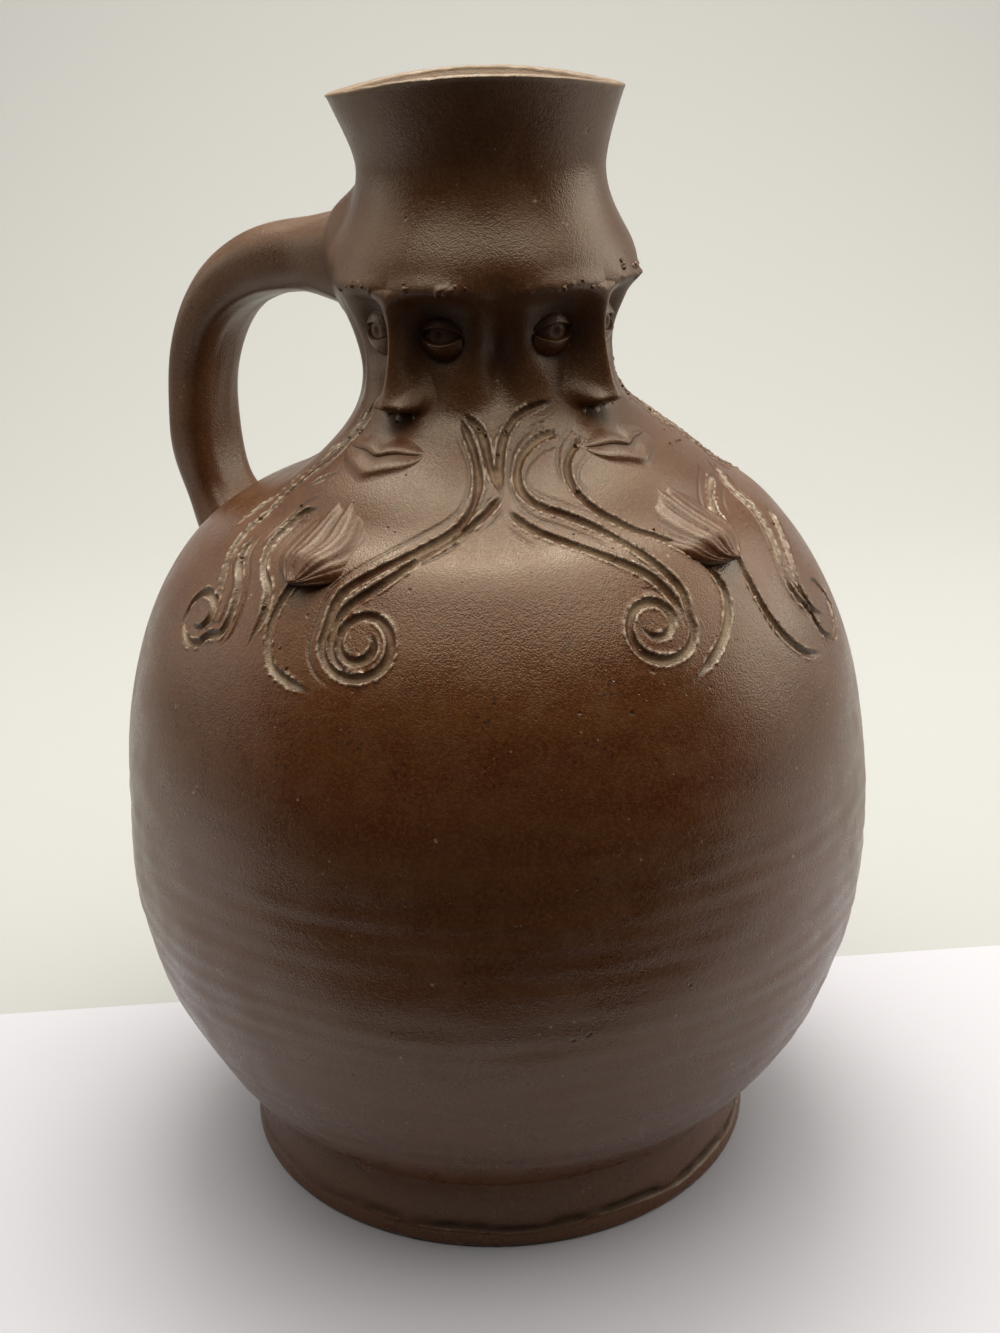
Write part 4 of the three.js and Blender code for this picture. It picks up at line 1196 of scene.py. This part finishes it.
def make_stage():
    """Cool white sheet under the jug, on a warm white sweep that curves up behind it."""
    run = np.linspace(SHEET_FRONT, STAGE_HALF_WIDTH, 80)
    past = np.clip((run - SWEEP_START) / SWEEP_RADIUS, 0, math.pi / 2)
    y = np.where(run < SWEEP_START, run, SWEEP_START + SWEEP_RADIUS * np.sin(past))
    risen = np.clip(run - SWEEP_START - SWEEP_RADIUS * math.pi / 2, 0, None)
    z = SWEEP_RADIUS * (1 - np.cos(past)) + risen - SHEET_THICKNESS
    x = np.linspace(-STAGE_HALF_WIDTH, STAGE_HALF_WIDTH, 3)
    sheet("sweep", points_at(x, y[:, None], z[:, None]), plain("sweep_white", SWEEP_COLOUR, 0.8))
    ends = x[[0, -1]]
    table = np.array([[(end, SHEET_FRONT, 0) for end in ends],
                      [(end, SHEET_BACK + SHEET_SLANT * end, 0) for end in ends]])
    sheet("table_sheet", table, plain("sheet_white", SHEET_COLOUR, 0.7))


# Camera of the photograph: its focal length in pixels of a 1000 x 1333 frame, its distance from
# the jug's axis and height in mm, its angles in degrees, and the azimuth that it looks from.
CAMERA_AZIMUTH = -56.5
FRAME_HEIGHT = 1333
FOCAL_PIXELS = 1626
CAMERA_DISTANCE = 438
CAMERA_HEIGHT = 309.6
CAMERA_PITCH = 20.86
CAMERA_ROLL = -1.45
CAMERA_YAW = 0.44
SENSOR_HEIGHT = 36

# Stage in metres, seen from the camera: the front and back edges of the sheet under the jug, from
# the jug's axis, the slant of the back edge, and where the sweep behind starts to curve up
STAGE_HALF_WIDTH = 2.4
SHEET_FRONT = -0.2
SHEET_BACK = 0.062
SHEET_SLANT = 0.074
SHEET_THICKNESS = 0.0006
SWEEP_START = 0.62
SWEEP_RADIUS = 0.55
SWEEP_COLOUR = (0.365, 0.366, 0.37)
SHEET_COLOUR = (0.45, 0.447, 0.5)

# Colours of the lamps and of the surroundings, and how strong the surroundings are for the light
# on the object, where they are seen, and in the glaze as a share of the way between these two
LAMP_COLOUR = (1, 0.965, 0.86)
WORLD_COLOUR = (1.0, 0.985, 0.96)
WORLD_STRENGTH = 0.03
WORLD_SEEN = 0.66
WORLD_IN_GLAZE = 0.03


def make_camera():
    """Camera on the photograph's view: a turn about the jug's axis, then yaw, pitch and roll."""
    data = bpy.data.cameras.new("camera")
    data.sensor_fit = "VERTICAL"
    data.sensor_height = SENSOR_HEIGHT
    data.lens = FOCAL_PIXELS / FRAME_HEIGHT * SENSOR_HEIGHT
    data.clip_end = 20
    camera = linked("camera", data)
    bpy.context.scene.camera = camera
    place = Matrix.Translation((0, -CAMERA_DISTANCE * MM, CAMERA_HEIGHT * MM))
    round_axis, yaw, pitch, roll = (Matrix.Rotation(math.radians(angle), 4, axis) for angle, axis in (
        (CAMERA_AZIMUTH, "Z"), (-CAMERA_YAW, "Z"), (90 - CAMERA_PITCH, "X"), (CAMERA_ROLL, "Z")))
    camera.matrix_world = round_axis @ place @ yaw @ pitch @ roll


def make_lamp(name, place, target, size, power):
    """Square soft lamp at a place, aimed at a target; both are in metres, as right of, behind and
    above the jug's base, seen from the camera."""
    data = bpy.data.lights.new(name, "AREA")
    data.size = size
    data.energy = power
    data.color = LAMP_COLOUR
    lamp = linked(name, data)
    heading = Matrix.Rotation(math.radians(CAMERA_AZIMUTH), 3, "Z")
    place, target = heading @ Vector(place), heading @ Vector(target)
    lamp.location = place
    lamp.rotation_euler = (place - target).to_track_quat("Z", "Y").to_euler()


def make_world():
    """Even surroundings: dim for the light on the object, little brighter in its glaze, and pale
    where they are seen past the stage."""
    world = bpy.data.worlds.new("studio")
    bpy.context.scene.world = world
    world.use_nodes = True
    background = world.node_tree.nodes["Background"].inputs
    rays = world.node_tree.nodes.new("ShaderNodeLightPath").outputs
    seen = maths("MAXIMUM", rays["Is Camera Ray"], rays["Is Transmission Ray"])
    seen = maths("MAXIMUM", seen, maths("MULTIPLY", rays["Is Glossy Ray"], WORLD_IN_GLAZE))
    feed(background["Color"], WORLD_COLOUR)
    more = WORLD_SEEN - WORLD_STRENGTH
    feed(background["Strength"], maths("MULTIPLY_ADD", seen, more, WORLD_STRENGTH))


def crumb_places(lines):
    """Crumbs scattered along the brows, beside the beard strokes and over the front."""
    draw = np.random.default_rng(17)
    places = []
    for face in FACE_AZIMUTHS.values():
        for side in (-1, 1):
            for across in draw.uniform(0.4, 1.8, 4) * EYE_WIDTH * side:
                height = BROW + 2.2 + draw.normal() * 1.1
                size = 0.4 + 0.7 * draw.random() ** 2
                places.append((azimuth_of(face, across), height, size))
        for _ in range(10):
            azimuth, height = face + draw.uniform(-38, 38), draw.uniform(198, 226)
            places.append((azimuth, height, 0.22 + 0.3 * draw.random()))
    for line, half, _ in lines:
        if half == STROKE_HALF_WIDTH:
            for x, y, z in line[draw.integers(8, len(line) - 12, 2)]:
                shifted = math.degrees(math.atan2(x, -y)) + draw.choice((-1, 1)) * 1.4
                places.append((shifted, z + draw.uniform(0.6, 1.4), 0.2 + 0.3 * draw.random()))
    return places


make_camera()
beard_lines = stroke_lines()
make_belly()
make_band("shoulder", 1360, SHOULDER_START, LOCKS_START, 0.5, "salt_glaze_belly", ["body"], beard_lines)
make_band("locks", 1270, LOCKS_START, JOINT[1], 0.58, "salt_glaze_belly", ["body"], beard_lines)
make_band("collar", 820, JOINT[1], COLLAR_TOP, 0.55, "salt_glaze_collar", ["neck"], beard_lines)
make_head()
make_foot()
make_handle()
for index, (label, face) in enumerate(FACE_AZIMUTHS.items()):
    make_nose(label, face)
    make_tuft(label, face, 60 + 5 * index)
    for up in (-1, 1):
        make_lip(label, face, up)
        for side in (-1, 1):
            make_lid(label, face, side, up)
    for side in (-1, 1):
        make_eyeball(label, face, side)
make_crumbs("crumbs", crumb_places(beard_lines), 29)

make_stage()
make_world()
make_lamp("overhead", (0, 0.07, 1.35), (0, 0, 0), 1.85, 36.5)
make_lamp("sheen", (0, 0.38, 1.25), (0, 0, 0.15), 0.6, 9)
make_lamp("back_wash", (0, 0.25, 1.3), (0, 1.35, 0.5), 0.9, 4.0)
make_lamp("left_wing", (-1.0, 0.22, 0.6), (0, 0, 0.1), 0.85, 2.6)
make_lamp("right_wing", (1.0, 0.22, 0.6), (0, 0, 0.1), 0.85, 6.6)
scene = bpy.context.scene
scene.view_settings.view_transform = "Standard"
